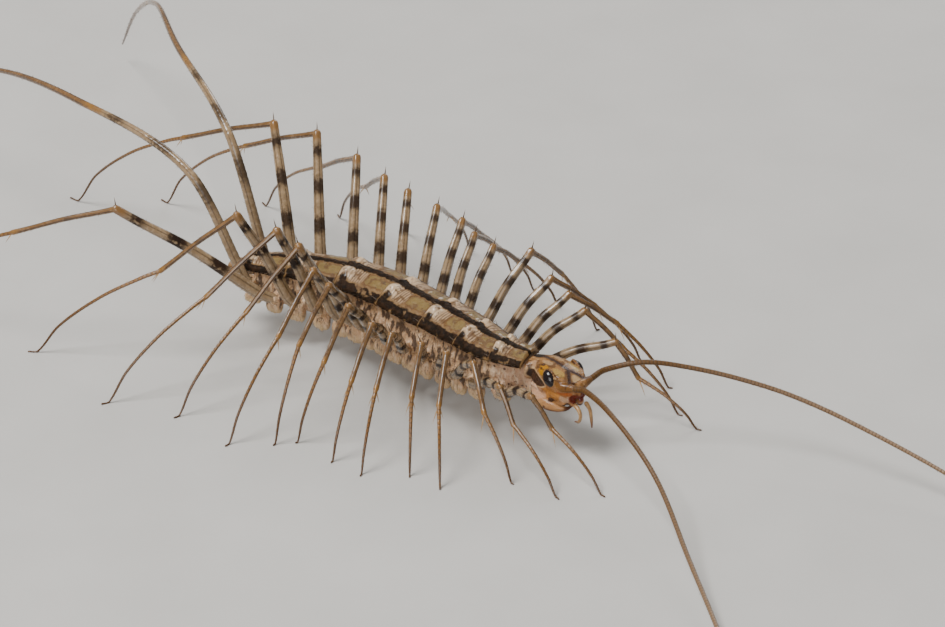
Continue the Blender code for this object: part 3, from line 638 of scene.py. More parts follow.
def skin_look():
    look = Look("soft_skin")
    station, left, height = look.place()
    aside = abs(left)
    broad = look.noise(0.9)
    grain = look.noise(0.3, 4.0)
    fine = look.noise(0.13, 4.0)
    streak = look.noise(0.36, 4.0, (1.0, 1.0, 0.3))
    neck = station.shaken(broad, 0.8).step(6.2, 4.6)
    rear = 1.0 - neck * 0.85
    hem = height.shaken(broad, 0.2).step(0.2, -0.02) * aside.step(0.5, 0.8)
    side = aside.step(0.6, 0.75)
    smudge = streak.step(0.53, 0.6) * height.band(0.1, 0.85, 0.08) * side * rear
    wash = streak.step(0.47, 0.38) * height.band(0.05, 0.7, 0.1) * side
    speck = look.cells(0.45).step(0.27, 0.16) * station.step(7.5, 5.5) * grain.step(0.4, 0.5)
    # Painted shade: a dark band high on the flank just under the back plates' edges, partly the side stripe
    # and partly the shade under their overhang
    under = height.shaken(grain, 0.14).band(0.78, 0.9, 0.03) * aside.step(0.72, 0.84) * rear
    look.colour(
        (1.32, 0.95),
        look.mix(broad, (0.4, 0.27, 0.18), (0.6, 0.44, 0.32)),
        (grain.step(0.5, 0.7) * 0.6, (0.7, 0.55, 0.42)),
        (fine.step(0.54, 0.7) * rear * 0.6, (0.17, 0.1, 0.06)),
        (neck * 0.75, look.mix(grain, (0.42, 0.27, 0.19), (0.64, 0.48, 0.38))),
        (hem * 0.6, (0.6, 0.48, 0.33)),
        (smudge * 0.88, (0.06, 0.042, 0.034)),
        (wash * 0.55, (0.72, 0.58, 0.46)),
        (speck * 0.85, (0.06, 0.036, 0.03)),
        # painted shade under the plates' edges
        (under * 0.85, (0.035, 0.024, 0.018)),
        (station.step(27.8, 29.2) * 0.6, (0.22, 0.13, 0.07)),
    )
    look.gloss(fine.step(-0.4, 1.5), 0.16, fine.step(0.42, 0.6) * 0.45, 0.15)
    fold = (station.shaken(grain, 0.12) * 21.0).sine()
    look.bump(fold * 0.2 + fine + streak * 0.7 + grain, 0.15, 0.9)
    look.glow(0.2, 0.4)
    return look.material


def plate_look():
    """Markings by the share along a plate, the share aside from the middle line, and the station."""
    look = Look("back_plates")
    share, left, station = look.place()
    broad = look.noise(1.1)
    grain = look.noise(0.34, 4.0)
    fine = look.noise(0.09, 4.0)
    aside = abs(left).shaken(grain, 0.2)
    along = share.shaken(grain, 0.1)
    panel = along.band(0.05, 0.47, 0.03) * aside.band(0.22, 0.64, 0.05)
    long_edge = aside.band(0.635, 0.69, 0.035).most(aside.band(0.18, 0.225, 0.03))
    edge = along.band(0.46, 0.52, 0.016) * aside.band(0.18, 0.7, 0.04)
    edge = edge.most(long_edge * along.band(0.06, 0.5, 0.04))
    pleat = along.band(0.52, 0.76, 0.025) * aside.band(0.17, 0.7, 0.05)
    folds = (station.shaken(grain, 0.07) * (2 * math.pi / PLEAT)).sine()
    dome = along.band(0.75, 0.985, 0.025) * aside.band(0.2, 0.66, 0.06)
    fleck = look.cells(0.42).step(0.2, 0.1) * broad.step(0.4, 0.55)
    middle = (aside - share * 0.05).step(0.15, 0.105)
    hook = along.band(0.8, 0.93, 0.02) * aside.band(0.6, 0.8, 0.03)
    dash = aside.band(0.765, 1.1, 0.03) * (1.0 - look.noise(0.7).step(0.42, 0.34) * 0.85)
    stripes = middle.most(dash.most(hook) * along.shaken(broad, 0.06).band(0.03, 0.965, 0.02))
    look.colour(
        (1.13, 0.9),
        look.mix(broad, (0.12, 0.068, 0.03), (0.27, 0.17, 0.088)),
        (panel * 0.9, look.mix(grain, (0.1, 0.065, 0.022), (0.26, 0.18, 0.075))),
        (edge * 0.7, (0.085, 0.035, 0.012)),
        # The pleats are painted dark in the troughs of their folds: painted shade in the creases
        (pleat, look.mix(folds.step(-0.1, -0.8) * 0.85, (0.36, 0.25, 0.16), (0.06, 0.034, 0.018))),
        (dome * 0.95, look.mix(grain, (0.34, 0.22, 0.13), (0.7, 0.55, 0.39))),
        (look.noise(0.55, 4.0).step(0.52, 0.62) * 0.8, (0.1, 0.052, 0.024)),
        (fleck * 0.85, (0.05, 0.028, 0.018)),
        (stripes * 0.97, look.mix(grain.step(0.4, 0.72), (0.006, 0.004, 0.003), (0.028, 0.015, 0.009))),
    )
    look.gloss(fine.step(-0.2, 1.4), 0.2 - stripes * 0.15, dome.most(panel) * 0.5, 0.12)
    look.bump(fine * 0.6 + grain + folds * pleat * 0.5, 0.1, 0.85)
    look.glow(0.03, 0.2)
    return look.material


def leg_look(name, banding):
    """Shares run 0 to 1 down the femur, 1 to 2 down the tibia and 2 to 3 down the tarsus."""
    look = Look(name)
    share, fold, along = look.place()
    grain = look.noise(0.3, 4.0)
    down = share.shaken(grain, 0.09)
    lines = fold.wave(0.4).step(0.62, 0.95) * grain.step(0.25, 0.5)
    rails = fold.wave(0.5).step(0.5, 0.9) * grain.step(0.2, 0.45)
    around = fold.shaken(grain, 0.7).step(1.12, 0.88)
    bands = [down.band(low, high, 0.03) * around * banding for low, high in FEMUR_BANDS]
    femur = look.layers(
        look.mix(grain, (0.19, 0.125, 0.07), (0.41, 0.3, 0.19)),
        (lines * 0.65, (0.045, 0.028, 0.019)),
        (down.step(0.925, 0.975) * 0.9, (0.22, 0.12, 0.052)),
        *((band, BAND_COLOUR) for band in bands),
    )
    shin = look.layers(
        look.mix(grain, (0.105, 0.056, 0.025), (0.25, 0.15, 0.08)),
        (rails * 0.85, (0.04, 0.024, 0.016)),
        (down.band(1.42, 1.5, 0.03) * banding * 0.5, (0.05, 0.035, 0.028)),
        (down.step(1.07, 1.02).most(down.step(1.9, 1.97)), (0.25, 0.135, 0.052)),
    )
    foot = look.mix(share.step(2.1, 2.95), (0.22, 0.118, 0.05), (0.085, 0.04, 0.017))
    foot = look.mix(along.wave(FOOT_RING).step(0.35, 0.95) * 0.65, foot, (0.05, 0.026, 0.013))
    look.colour(
        (1.12, 0.86),
        femur,
        (share.step(1.0, 1.004), shin),
        (share.step(2.0, 2.004), foot),
        (look.noise(1.4).step(0.4, 0.75) * 0.3, (0.09, 0.055, 0.032)),
    )
    banded = bands[0].most(bands[1]).most(bands[2])
    look.gloss(grain.step(-0.5, 2.6), 0.3 - banded * 0.22, 0.5 - banded * 0.4, 0.1)
    look.bump(grain + look.noise(0.1, 3.0, (0.3, 0.3, 0.3)) * 0.5, 0.02, 0.6)
    look.glow(0.1, 0.3)
    return look.material


def feeler_look():
    look = Look("feelers")
    share, fold, along = look.place()
    grain = look.noise(0.25)
    joints = along.wave(FEELER_RING).step(0.3, 0.95)
    look.colour(
        (1.12, 0.82),
        look.mix(share.step(0.05, 0.75), (0.105, 0.052, 0.02), (0.235, 0.155, 0.098)),
        (joints * 0.65, (0.05, 0.027, 0.012)),
        (fold.step(0.65, 0.95) * 0.35, (0.07, 0.04, 0.018)),
        (grain.step(0.5, 0.8) * 0.2, (0.28, 0.175, 0.075)),
    )
    look.gloss(grain.step(-0.6, 1.9), 0.2, 0.15, 0.2)
    look.bump(grain + joints * -0.8, 0.02, 0.7)
    return look.material


def head_look():
    """Markings at places ahead, aside and up from the middle of the head."""
    look = Look("head_shell")
    ahead, left, up = look.place()
    aside = abs(left)
    broad = look.noise(0.7)
    grain = look.noise(0.26, 4.0)
    fine = look.noise(0.07, 4.0)
    spread = look.noise(0.5, 4.0)
    warped = (ahead.shaken(spread, 0.4), aside.shaken(grain, 0.22), up.shaken(grain, 0.2))
    tapered = (up + 0.42) * (ahead * 0.45 + 1.54)
    tilted = (ahead.shaken(grain, 0.14), aside, tapered.shaken(grain, 0.1))
    fork = abs(aside.shaken(grain, 0.2) - (ahead - 0.7).most(0.0) * 0.62)
    crown = up.step(0.1, 0.25) * ahead.step(1.75, 1.6)
    stem = fork.step(0.15, 0.07) * crown
    front = ahead.shaken(grain, 0.1).band(1.66, 1.74, 0.02) * up.step(-0.1, 0.05)
    # Painted shade: a dark line along each side edge of the head plate, standing in for the shadow in the
    # groove at its margin
    margin_groove_shade = warped[1].band(0.98, 1.07, 0.03) * ahead.step(1.3, 1.1) * up.step(0.1, 0.3)
    nape = ahead.shaken(grain, 0.25).step(-1.8, -2.0) * aside.step(0.4, 0.28)
    neck = ahead.step(-1.75, -2.0) * aside.band(0.85, 1.2, 0.06) * up.band(-0.5, 0.25, 0.1)
    fleck = look.cells(0.36).step(0.17, 0.08) * broad.step(0.4, 0.5)
    low = up.shaken(grain, 0.16)
    pits = look.cells(0.62).step(0.24, 0.14) * low.step(-1.2, -1.4)
    rim = low.step(-1.8, -2.03) * ahead.step(-0.9, 0.0)
    fang = low.step(-1.45, -1.6) * ahead.step(1.15, 1.4)
    mouth = spot(warped, (1.8, 0.3, -0.9), (0.42, 0.42, 0.36))
    look.colour(
        (1.14, 0.84),
        look.mix(broad, (0.19, 0.09, 0.035), (0.36, 0.2, 0.095)),
        (grain.step(0.5, 0.66) * 0.6, (0.52, 0.35, 0.2)),
        (spread.step(0.49, 0.59) * up.step(0.0, 0.3) * 0.75, (0.08, 0.036, 0.015)),
        (up.step(0.1, -0.4) * 0.6, (0.42, 0.215, 0.115)),
        *((spot(warped, at, radii) * strength, colour) for at, radii, strength, colour in HEAD_PATCHES),
        *((spot(tilted, CRESCENT_AT, radii, 0.14) * 0.96, colour) for radii, colour in CRESCENT),
        *((spot(warped, at, radii, soft) * 0.93, SPOT_COLOUR) for at, radii, soft in HEAD_SPOTS),
        (fork.step(0.32, 0.14) * crown * 0.75, (0.11, 0.052, 0.022)),
        (stem * spread.step(0.25, 0.4) * 0.95, (0.03, 0.013, 0.009)),
        (front * 0.85, (0.05, 0.022, 0.014)),
        # painted shade in the groove along the head plate's margin
        (margin_groove_shade * 0.7, (0.08, 0.036, 0.02)),
        (nape, (0.011, 0.007, 0.005)),
        (neck * 0.9, (0.03, 0.018, 0.013)),
        (fleck * 0.85, (0.08, 0.034, 0.018)),
        (fine.step(0.56, 0.72) * 0.55, (0.12, 0.052, 0.024)),
        (pits * 0.9, (0.04, 0.016, 0.01)),
        (rim * 0.92, (0.1, 0.026, 0.012)),
        (fang * 0.92, (0.05, 0.012, 0.007)),
        (mouth * 0.95, (0.11, 0.012, 0.006)),
    )
    look.gloss(fine.step(-0.35, 1.5), 0.15, fine.step(0.42, 0.6) * 0.6, 0.1)
    look.bump(grain + fine * 0.8 + stem * -0.6, 0.11, 0.9)
    look.glow(0.08, 0.2)
    return look.material


def palp_look():
    look = Look("palps")
    share, _, _ = look.place()
    grain = look.noise(0.22, 4.0)
    pale = look.mix(grain.step(0.4, 0.75), (0.42, 0.25, 0.11), (0.22, 0.115, 0.045))
    look.colour(RICHNESS, pale, (share.step(0.45, 0.95), (0.16, 0.07, 0.035)))
    look.gloss(grain.step(-1.05, 2.6), coat=0.3, coat_rough=0.15)
    look.bump(grain, 0.02, 0.6)
    look.glow(0.15, 0.3)
    return look.material


def eye_look():
    look = Look("eyes")
    share, _, _ = look.place()
    facets = look.cells(0.05)
    dark = look.mix(share.step(0.82, 1.0), (0.006, 0.0045, 0.005), (0.09, 0.04, 0.02))
    look.colour(RICHNESS, dark, (facets.step(0.3, 0.6) * 0.35, (0.03, 0.02, 0.02)))
    look.gloss(0.12, 0.2, 0.35, 0.12)
    look.bump(facets, 0.003, 0.3)
    return look.material


def spine_look():
    look = Look("spines")
    level, tone, _ = look.place()
    brown = look.mix(tone, (0.035, 0.022, 0.015), (0.5, 0.29, 0.11))
    look.colour(RICHNESS, brown, (level.step(0.3, 1.0) * 0.4, (0.14, 0.07, 0.03)))
    look.gloss(0.35, coat=0.3, coat_rough=0.15)
    return look.material


def floor_look():
    look = Look("floor")
    look.colour((1.0, 1.0), look.mix(look.noise(9.0, 5.0), (0.4, 0.385, 0.36), (0.48, 0.465, 0.44)))
    look.gloss(0.7)
    look.bump(look.noise(0.8, 4.0), 0.05, 0.25)
    return look.material


# The trunk's soft skin, with hanging lobes and a coxa for each leg

def leg_stations():
    found = []
    for start, end, count in zip(TERGITE_ENDS, TERGITE_ENDS[1:], LEGS_IN_TERGITE):
        found += [start + (end - start) * (i + 0.5) / count for i in range(count)]
    return found


def leg_points(station, side, pose):
    """Root, knee, tibia end and foot of a leg."""
    forward, left = body_ways(station)
    outward = left * side
    root = body_point(station, side * (sizes_at(station)[0] + COXA_REACH), COXA_HEIGHT)
    base = np.array((root[0], root[1], 0.0))
    spots = [base + outward * p[0] + forward * p[1] for p in pose]
    spots[0][2] = pose[0][2]
    spots[1][2] = pose[1][2]
    spots[2][2] = FOOT_RADII[-1]
    return [root, *spots]


def root_way(points):
    way = points[1] - points[0]
    way[2] *= 0.75
    return unit(way)


def trail_points(side):
    station = leg_stations()[-1]
    root = body_point(station + 0.25, side * (sizes_at(station)[0] + COXA_REACH), TRAIL_HEIGHT)
    return [root, *np.array(LEFT_TRAIL if side > 0 else RIGHT_TRAIL, float)]


def core_ring(station, phase):
    """The trunk's cross-section a little inside the solids, pinched between the legs."""
    width, top, bottom = sizes_at(station)
    half = [(0.0, 1.0), *SECTION, (0.0, 0.0)]
    shares = half[:-1] + [(-side, up) for side, up in reversed(half[1:])]
    pinch = 0.95 - 0.05 * math.cos(2 * math.pi * phase) ** 2
    neck = 0.8 + 0.2 * float(ease(station, 3.7, 4.5))
    high = 0.94 * neck + 0.045
    width = width * pinch * neck
    return [body_point(station, side * width, bottom + (top - bottom) * up * high) for side, up in shares]


def trunk_skin(rng):
    stations = leg_stations()
    rows = np.arange(*SKIN_ROWS)
    phases = np.interp(rows, stations, np.arange(len(stations))) / 2
    parts = [loft([core_ring(s, p) for s, p in zip(rows, phases)])]
    for i, station in enumerate(stations):
        forward, left = body_ways(station)
        width, _, bottom = sizes_at(station)
        for side in (1, -1):
            outward = left * side
            poses = LEFT_LEGS if side > 0 else RIGHT_LEGS
            points = leg_points(station, side, poses[i]) if i < len(poses) else trail_points(side)
            way = root_way(points)
            centre = points[0]
            inner = centre - way * 0.2 - outward * 0.95
            parts.append(tube([inner, centre - way * 0.3, centre + way * 0.02], [0.5, 0.47, 0.36], 8, 16))
            root = body_point(station, side * (width + COXA_REACH), COXA_HEIGHT)
            for step, size in LOBES:
                low = bottom - 0.3 * size * rng.uniform(0.8, 1.15)
                high = min(low + 1.8 * size, COXA_HEIGHT - 0.1)
                middle = np.array((root[0], root[1], (low + high) / 2)) - outward * (COXA_REACH + 0.02)
                middle = middle + forward * (step + rng.uniform(-0.05, 0.05))
                girth = (0.27 * size + 0.08, 0.42, (high - low) / 2)
                parts.append(ball(middle, girth, (forward, outward, UP), 10, 14))
    for side in (1, -1):
        for (ahead, aside, up), sizes in THROAT:
            parts.append(ball(head_point(ahead, side * aside, up), sizes, (*head_ways(), UP)))
    points, faces = fused(parts, SKIN_VOXEL, 3)
    return points, faces, body_place(points)


# Back plates

def plate(k):
    """A tergite: panels, pleats, a dome at each side of the rear, and a knob on the middle line."""
    start = TERGITE_ENDS[k] - (0.05 if k else 0.2)
    end = TERGITE_ENDS[k + 1] + 0.06
    length = end - start
    rows = max(30, round(length / PLATE_ROW))
    u = np.linspace(0, 1, rows)[:, None]
    v = np.linspace(-1.02, 1.02, PLATE_COLUMNS)[None, :]
    station = start + length * u
    width, top, bottom = sizes_at(station)
    side = v * (1 - 0.035 * np.abs(2 * u - 1) ** 5)
    aside = np.abs(v)
    lift = 0.1 + 0.09 * u
    drop = PLATE_FALL * (top - bottom) * np.abs(side) ** PLATE_CURVE
    pleats = ease(u, 0.5, 0.56) * ease(u, 0.84, 0.78) * ease(aside, 0.13, 0.22) * ease(aside, 0.78, 0.66)
    rise = lift - drop + (0.035 * np.sin(2 * np.pi * station / PLEAT) - 0.06) * pleats
    rise = rise + DOME_RISE * bell((u - 0.88) * length, 0.46) * bell(aside - 0.43, 0.21)
    rise = rise + 0.05 * bell(v, 0.12) + 0.16 * bell((u - 0.93) * length, 0.24) * bell(v, 0.12)
    rise = rise - 0.04 * bell((u - 0.495) * length, 0.05) * ease(aside, 0.15, 0.2) * ease(aside, 0.75, 0.66)
    rise = rise + 0.03 * bell(aside - 0.69, 0.03) - 0.13 * ease(u, 0.965, 1.0) - 0.12 * ease(u, 0.05, 0.0)
    for waves, turns in ((5.1, 4.0), (7.7, -6.3), (12.1, 9.7), (17.3, -13.0)):
        rise = rise + 0.06 / waves * np.sin(waves * station + turns * v + waves * k)
    rise = rise - 0.1 * ease(aside, 0.94, 1.04)
    over = body_point(station, side * width, top + rise)
    under = body_point(station, side * width * 0.985, top + rise - 0.05 - 0.1 * ease(aside, 1.0, 0.9))
    ring = np.concatenate((over, under[:, ::-1]), axis=1)
    place = np.stack(np.broadcast_arrays(u, v, station), -1)
    place = np.concatenate((place, place[:, ::-1]), axis=1)
    count = 2 * PLATE_COLUMNS
    faces = [face[::-1] for face in grid_faces(rows, count)]
    for base, order in ((0, 1), ((rows - 1) * count, -1)):
        for j in range(PLATE_COLUMNS - 1):
            quad = [base + j, base + j + 1, base + count - 2 - j, base + count - 1 - j]
            faces.append(quad[::order])
    return ring.reshape(-1, 3), faces, place.reshape(-1, 3)


# Head

def head_ways():
    return ways_at(math.radians(HEAD_YAW))


def head_point(ahead, left, up):
    forward, aside = head_ways()
    return np.array(HEAD_AT) + forward * ahead + aside * left + UP * up


def head_place(points):
    forward, aside = head_ways()
    apart = points - np.array(HEAD_AT)
    return np.stack((apart @ forward, apart @ aside, apart[:, 2]), -1)


def eye_frame(side):
    """The middle of an eye, its way out, and the ways of its short side and of its leaning long side."""
    forward, aside = head_ways()
    yaw = math.radians(EYE_YAW)
    out = unit(aside * side * math.cos(yaw) + forward * math.sin(yaw) + UP * 0.25)
    along = unit(forward - out * forward.dot(out))
    down = np.cross(out, along) * side
    lean = math.radians(EYE_LEAN)
    short = along * math.cos(lean) - down * math.sin(lean)
    ahead, left, up = EYE_AT
    return head_point(ahead, side * left, up), out, short, down * math.cos(lean) + along * math.sin(lean)


def antenna_root(side):
    """Where a feeler leaves its socket, and its way."""
    ahead, left, up = ANTENNA_AT
    route = LEFT_ANTENNA if side > 0 else RIGHT_ANTENNA
    base = head_point(ahead, side * left, up)
    way = unit(np.array(route[0]) - base)
    return base + way * SOCKET_REACH, way


def rounded(wave):
    """A wave made a little fuller, for a ring between a circle and a square."""
    return np.sign(wave) * np.abs(wave) ** 0.85


def skull():
    """The head's main form, from the neck to the front."""
    _, aside = head_ways()
    rear = NECK - 0.3
    middles = [body_point(rear, 0, NECK_HEIGHT), *(head_point(ring[0], 0, 0) for ring in HEAD_RINGS)]
    sizes = [NECK_RING, *(ring[1:] for ring in HEAD_RINGS)]
    sides = [body_ways(rear)[1], *([aside] * len(HEAD_RINGS))]
    index = np.arange(len(middles))
    turn = np.linspace(0, 2 * np.pi, 48, endpoint=False)
    across = rounded(np.sin(turn))
    rise = rounded(np.cos(turn))
    rings = []
    for t in np.linspace(0, index[-1], 50):
        middle, size, way = (smooth_point(t, index, rows) for rows in (middles, sizes, sides))
        height = np.where(rise > 0, size[1] * rise, -size[2] * rise) * HEAD_INSET
        rings.append(middle + np.outer(across * size[0] * HEAD_INSET, way) + np.outer(height, UP))
    return loft(np.array(rings)[:, ::-1])


def head_skin():
    ways = (*head_ways(), UP)
    parts = [skull()]
    for side in (1, -1):
        for (ahead, left, up), sizes in HEAD_LOBES:
            parts.append(ball(head_point(ahead, side * left, up), sizes, ways))
        seat, out, along, above = eye_frame(side)
        for k in range(RIM_BEADS):
            turn = 2 * math.pi * k / RIM_BEADS
            bead = seat + out * (EYE_LIFT + 0.1) + along * RIM_REACH[0] * math.cos(turn)
            bead = bead + above * RIM_REACH[1] * math.sin(turn)
            parts.append(ball(bead, [RIM_SIZE] * 3, (along, above, out), 8, 10))
        base, way = antenna_root(side)
        parts.append(tube([base - way * 0.8, base - way * 0.1, base + way * 0.1], [0.4, 0.33, 0.25], 8, 16))
        index = np.arange(len(RIDGE))
        for t in np.linspace(0, index[-1], RIDGE_BEADS):
            ahead, left, up = smooth_point(t, index, RIDGE)
            size = RIDGE_SIZE * (1 + 0.25 * math.sin(11 * t))
            parts.append(ball(head_point(ahead, side * left, up), [size] * 3, ways, 8, 10))
    for middle, sizes in FACE_LOBES:
        parts.append(ball(head_point(*middle), sizes, ways))
    points, faces = fused(parts, HEAD_VOXEL, 2)
    return points, faces, head_place(points)


def eye(side):
    """A domed eye: its place is 0 at the crown and 1 at the rim."""
    seat, out, along, above = eye_frame(side)
    rows, columns = 22, 40
    tilt = np.linspace(0.03, 1.0, rows) * np.pi / 2
    turn = np.arange(columns) / columns * 2 * np.pi
    flat = np.sin(tilt)[:, None, None]
    c = np.cos(turn)[None, :, None]
    s = np.sin(turn)[None, :, None]
    points = seat + out * EYE_LIFT + flat * (along * EYE_SIZE[0] * c + above * EYE_SIZE[1] * s)
    points = points + out * EYE_SIZE[2] * np.cos(tilt)[:, None, None]
    faces = capped_faces(rows, columns)
    if side > 0:
        faces = [face[::-1] for face in faces]
    place = np.broadcast_to((tilt / (np.pi / 2))[:, None, None], points.shape)
    return points.reshape(-1, 3), faces, place.reshape(-1, 3)


def claw(side):
    route = [head_point(a, side * b, c + CLAW_RAISE) for a, b, c in (CLAW_ROOT, *CLAW_ROUTE)]
    points, faces, _ = tube(route, CLAW_SIZES, 70, 24)
    return points, faces, head_place(points)


def feeler(side):
    base, way = antenna_root(side)
    reach = np.array(LEFT_ANTENNA if side > 0 else RIGHT_ANTENNA, float)
    return long_tube([base - way * 0.25, base + way * 0.3, *reach], FEELER_RADII, FEELER_RING, FEELER_SIDES)


# Legs

def bowed(a, b, t, rise):
    return a + (b - a) * t + UP * rise * math.sin(math.pi * t)


def leg_tubes(points, number):
    """Femur, tibia and tarsus of a leg, each a round-ended tube. The femora grow towards the rear."""
    way = root_way(points)
    root, knee, ankle, foot = points
    start = root + way * 0.3
    femur = [root - way * 0.25, start, start + way * 0.7, bowed(start, knee, 0.5, 0.25)]
    femur += [bowed(start, knee, 0.88, 0.05), knee]
    shin = [bowed(knee, ankle, t, rise) for t, rise in ((0.14, 0.05), (0.5, 0.12), (0.86, 0.05))]
    length = np.linalg.norm(foot - ankle)
    scale = FEMUR_GROWTH[0] + FEMUR_GROWTH[1] * number
    low = ankle + (foot - ankle) * 0.93
    low[2] = FOOT_RADII[-1] * 1.6
    tarsus = [ankle, *(bowed(ankle, foot, t, 0.07 * length) for t in (0.14, 0.45, 0.76)), low, foot]
    rows = max(40, round(length / RING_ROW))
    return (
        tube(femur, [scale * r for r in FEMUR_RADII], 34, LEG_SIDES, (0.0, 1.0), (5, 0.07)),
        tube([knee, *shin, ankle], SHIN_RADII, 30, LEG_SIDES, (1.01, 0.98), (4, 0.05)),
        tube(tarsus, FOOT_RADII, rows, FOOT_SIDES, (2.01, 0.98), (0, 0.0), (FOOT_RING, 0.09), True),
    )


def trailing_leg(side):
    points = trail_points(side)
    way = root_way(points)
    route = [points[0] - way * 0.25, points[0] + way * 0.3, *points[1:]]
    return long_tube(route, TRAIL_RADII, TRAIL_RING, LEG_SIDES, (0.0, 3.0))


# Spines, bristles and hairs, all as solid mesh

class Spines:
    """Collects tapering spines, then makes them one piece."""

    def __init__(self, sides):
        self.sides = sides
        self.rows = []

    def add(self, root, way, length, radius, tone, patch, bend=0.12):
        """A spine, with its own patch of the OFBake map."""
        self.rows.append((*root, *unit(way), length, radius, tone, *patch, bend))

    def piece(self, name, look):
        columns = np.split(np.array(self.rows), (3, 6, 7, 8, 9, 11), axis=1)
        root, way, length, radius, tone, patch, bend = (column[:, None, None] for column in columns)
        helper = np.where(np.abs(way[..., 2:]) > 0.9, (1.0, 0.0, 0.0), UP)
        side = unit(np.cross(way, helper))
        other = np.cross(side, way)
        level = np.array(SPINE_LEVELS)[:, None, None]
        taper = np.array(SPINE_TAPER)[:, None, None]
        turn = (np.arange(self.sides) / self.sides * 2 * np.pi)[:, None]
        sag = other * (length * bend * level**2)
        ring = side * np.cos(turn) + other * np.sin(turn)
        points = root + way * (length * level) - sag + ring * (radius * taper)
        points[..., 2] = np.maximum(points[..., 2], SPINE_FLOOR)
        size = len(level) * self.sides
        one = capped_faces(len(level), self.sides)
        faces = [[i + size * n for i in face] for n in range(len(points)) for face in one]
        place = np.concatenate(np.broadcast_arrays(level, tone, turn / 7), -1)
        bake = patch + np.concatenate(np.broadcast_arrays(turn / 6.3, level), -1) * SPINE_PATCH
        part = (points.reshape(-1, 3), faces, place.reshape(-1, 3))
        add_piece(name, part, look, bake=bake.reshape(-1, 2))


def along_tube(part, sides, rng, reach, columns=()):
    """A random root on a tube, with its ways out and along, and its shares along the tube and round it."""
    points = part[0].reshape(-1, sides, 3)
    row = int(3 + rng.uniform(*reach) * (len(points) - 8))
    column = int(rng.choice(columns)) if columns else int(rng.integers(sides))
    middle = points[row].mean(0)
    ahead = unit(points[row + 1].mean(0) - middle)
    return points[row, column], unit(points[row, column] - middle), ahead, row / len(points), column / sides


def dress_tube(part, sides, kind, side, hairs, rng):
    """Fine hairs all along a feeler or a trailing leg."""
    count, forward, lengths, radius, tones, strip, strips = kind
    for _ in range(count):
        root, out, ahead, share, turn = along_tube(part, sides, rng, (0.0, 0.99))
        length = rng.uniform(*lengths)
        patch = ((strip + (side + 1) / 2 + turn) / strips, share)
        hairs.add(root, out * 0.7 + ahead * forward, length, radius, rng.uniform(*tones), patch)


def dress_leg(tubes, points, row, spines, hairs, rng):
    """Spines at the knee and the ankle, short bristles on the ridges, and fine hairs on the tarsus."""
    root, knee, ankle, foot = points
    along = unit(ankle - knee)
    beyond = unit(foot - ankle)
    across = unit(np.cross(along, UP))
    strip = (row + 0.5) / 32
    for sign, reach in ((1, 1.0), (-1, 0.7)):
        lean = unit(beyond * 0.7 + across * sign * 0.4 - UP * 0.35)
        spines.add(ankle, lean, SPUR_LENGTH * reach, 0.05, 0.9, (strip, 0.6), 0.08)
    spines.add(knee, along * 0.15 + UP * 0.9 + across * 0.2, 0.85, 0.06, 0.1, (strip, 0.33), 0.05)
    for sign in (1, -1):
        spines.add(knee, along * 0.8 + UP * 0.25 + across * 0.5 * sign, 0.5, 0.045, 0.5, (strip, 0.34), 0.1)
    for part, (count, sides, reach, length, ridges, radius, tones) in enumerate(LEG_HAIRS):
        columns = [round(k * sides / ridges) % sides for k in range(ridges)]
        for _ in range(count):
            root, out, ahead, share, turn = along_tube(tubes[part], sides, rng, reach, columns)
            tone = rng.uniform(*tones)
            size = length * rng.uniform(0.6, 1.4)
            patch = (strip + (turn - 0.5) / 40, (part + share) / 3.2)
            hairs.add(root, out * 0.75 + ahead * 0.75, size, radius, tone, patch)


def dress_skin(skin, hairs, rng):
    """Hairs on the lower edges of the lobes, and bristles on the flanks."""
    points, _, places = skin
    order = rng.permutation(len(points))
    station, aside, height = places.T
    aside = np.abs(aside)
    lobes = (height < 0.12) & (aside > 0.6) & (4 < station) & (station < 28.5)
    flanks = (0.15 < height) & (height < 0.72) & (aside > 0.8) & (4 < station) & (station < 28)
    for i in order[lobes[order]][:LOBE_HAIRS]:
        station, aside, _ = places[i]
        forward, left = body_ways(station)
        way = left * np.sign(aside) * rng.uniform(0.1, 0.7) - UP * rng.uniform(0.5, 1.0)
        way = way + forward * rng.uniform(-0.4, 0.4)
        length = rng.uniform(0.1, 0.28)
        hairs.add(points[i], way, length, 0.009, rng.uniform(0.3, 1.0), body_patch(station, aside))
    for i in order[flanks[order]][:FLANK_HAIRS]:
        station, aside, _ = places[i]
        forward, left = body_ways(station)
        way = left * np.sign(aside) * 0.7 - UP * rng.uniform(0.0, 0.7) + forward * rng.uniform(-0.5, 0.5)
        length = rng.uniform(0.16, 0.4)
        hairs.add(points[i], way, length, 0.017, rng.uniform(0.0, 0.2), body_patch(station, aside))


def body_patch(station, aside):
    return station / 31, 0.5 + aside / 3


def dress_plates(hairs, spines, rng):
    """Spines along the rear of each plate, and bristles along its sides."""
    for start, end in zip(TERGITE_ENDS, TERGITE_ENDS[1:]):
        width, top, bottom = sizes_at(end)
        forward, left = body_ways(end)
        for v in PLATE_SPINES:
            fall = PLATE_FALL * (top - bottom) * abs(v) ** PLATE_CURVE
            root = body_point(end - 0.12, v * width * 0.93, top - fall + 0.1)
            way = UP * 0.6 - forward * 0.7 + left * 0.35 * np.sign(v)
            size = rng.uniform(0.35, 0.5) * (1.5 if abs(v) > 0.9 else 1.0)
            spines.add(root, way, size, 0.04, rng.uniform(0.0, 0.15), body_patch(end, v), 0.1)
        for side in (1, -1):
            for u in np.linspace(0.08, 0.9, EDGE_BRISTLES):
                station = start + (end - start) * u
                width, top, bottom = sizes_at(station)
                root = body_point(station, side * width * 1.03, top - PLATE_FALL * (top - bottom) + 0.12)
                way = left * side * 0.8 + UP * rng.uniform(-0.1, 0.4) - forward * 0.35
                patch = (station / 31, 0.5 + side * 0.34)
                hairs.add(root, way, rng.uniform(0.24, 0.46), 0.02, 0.05, patch)


# Floor, light and camera

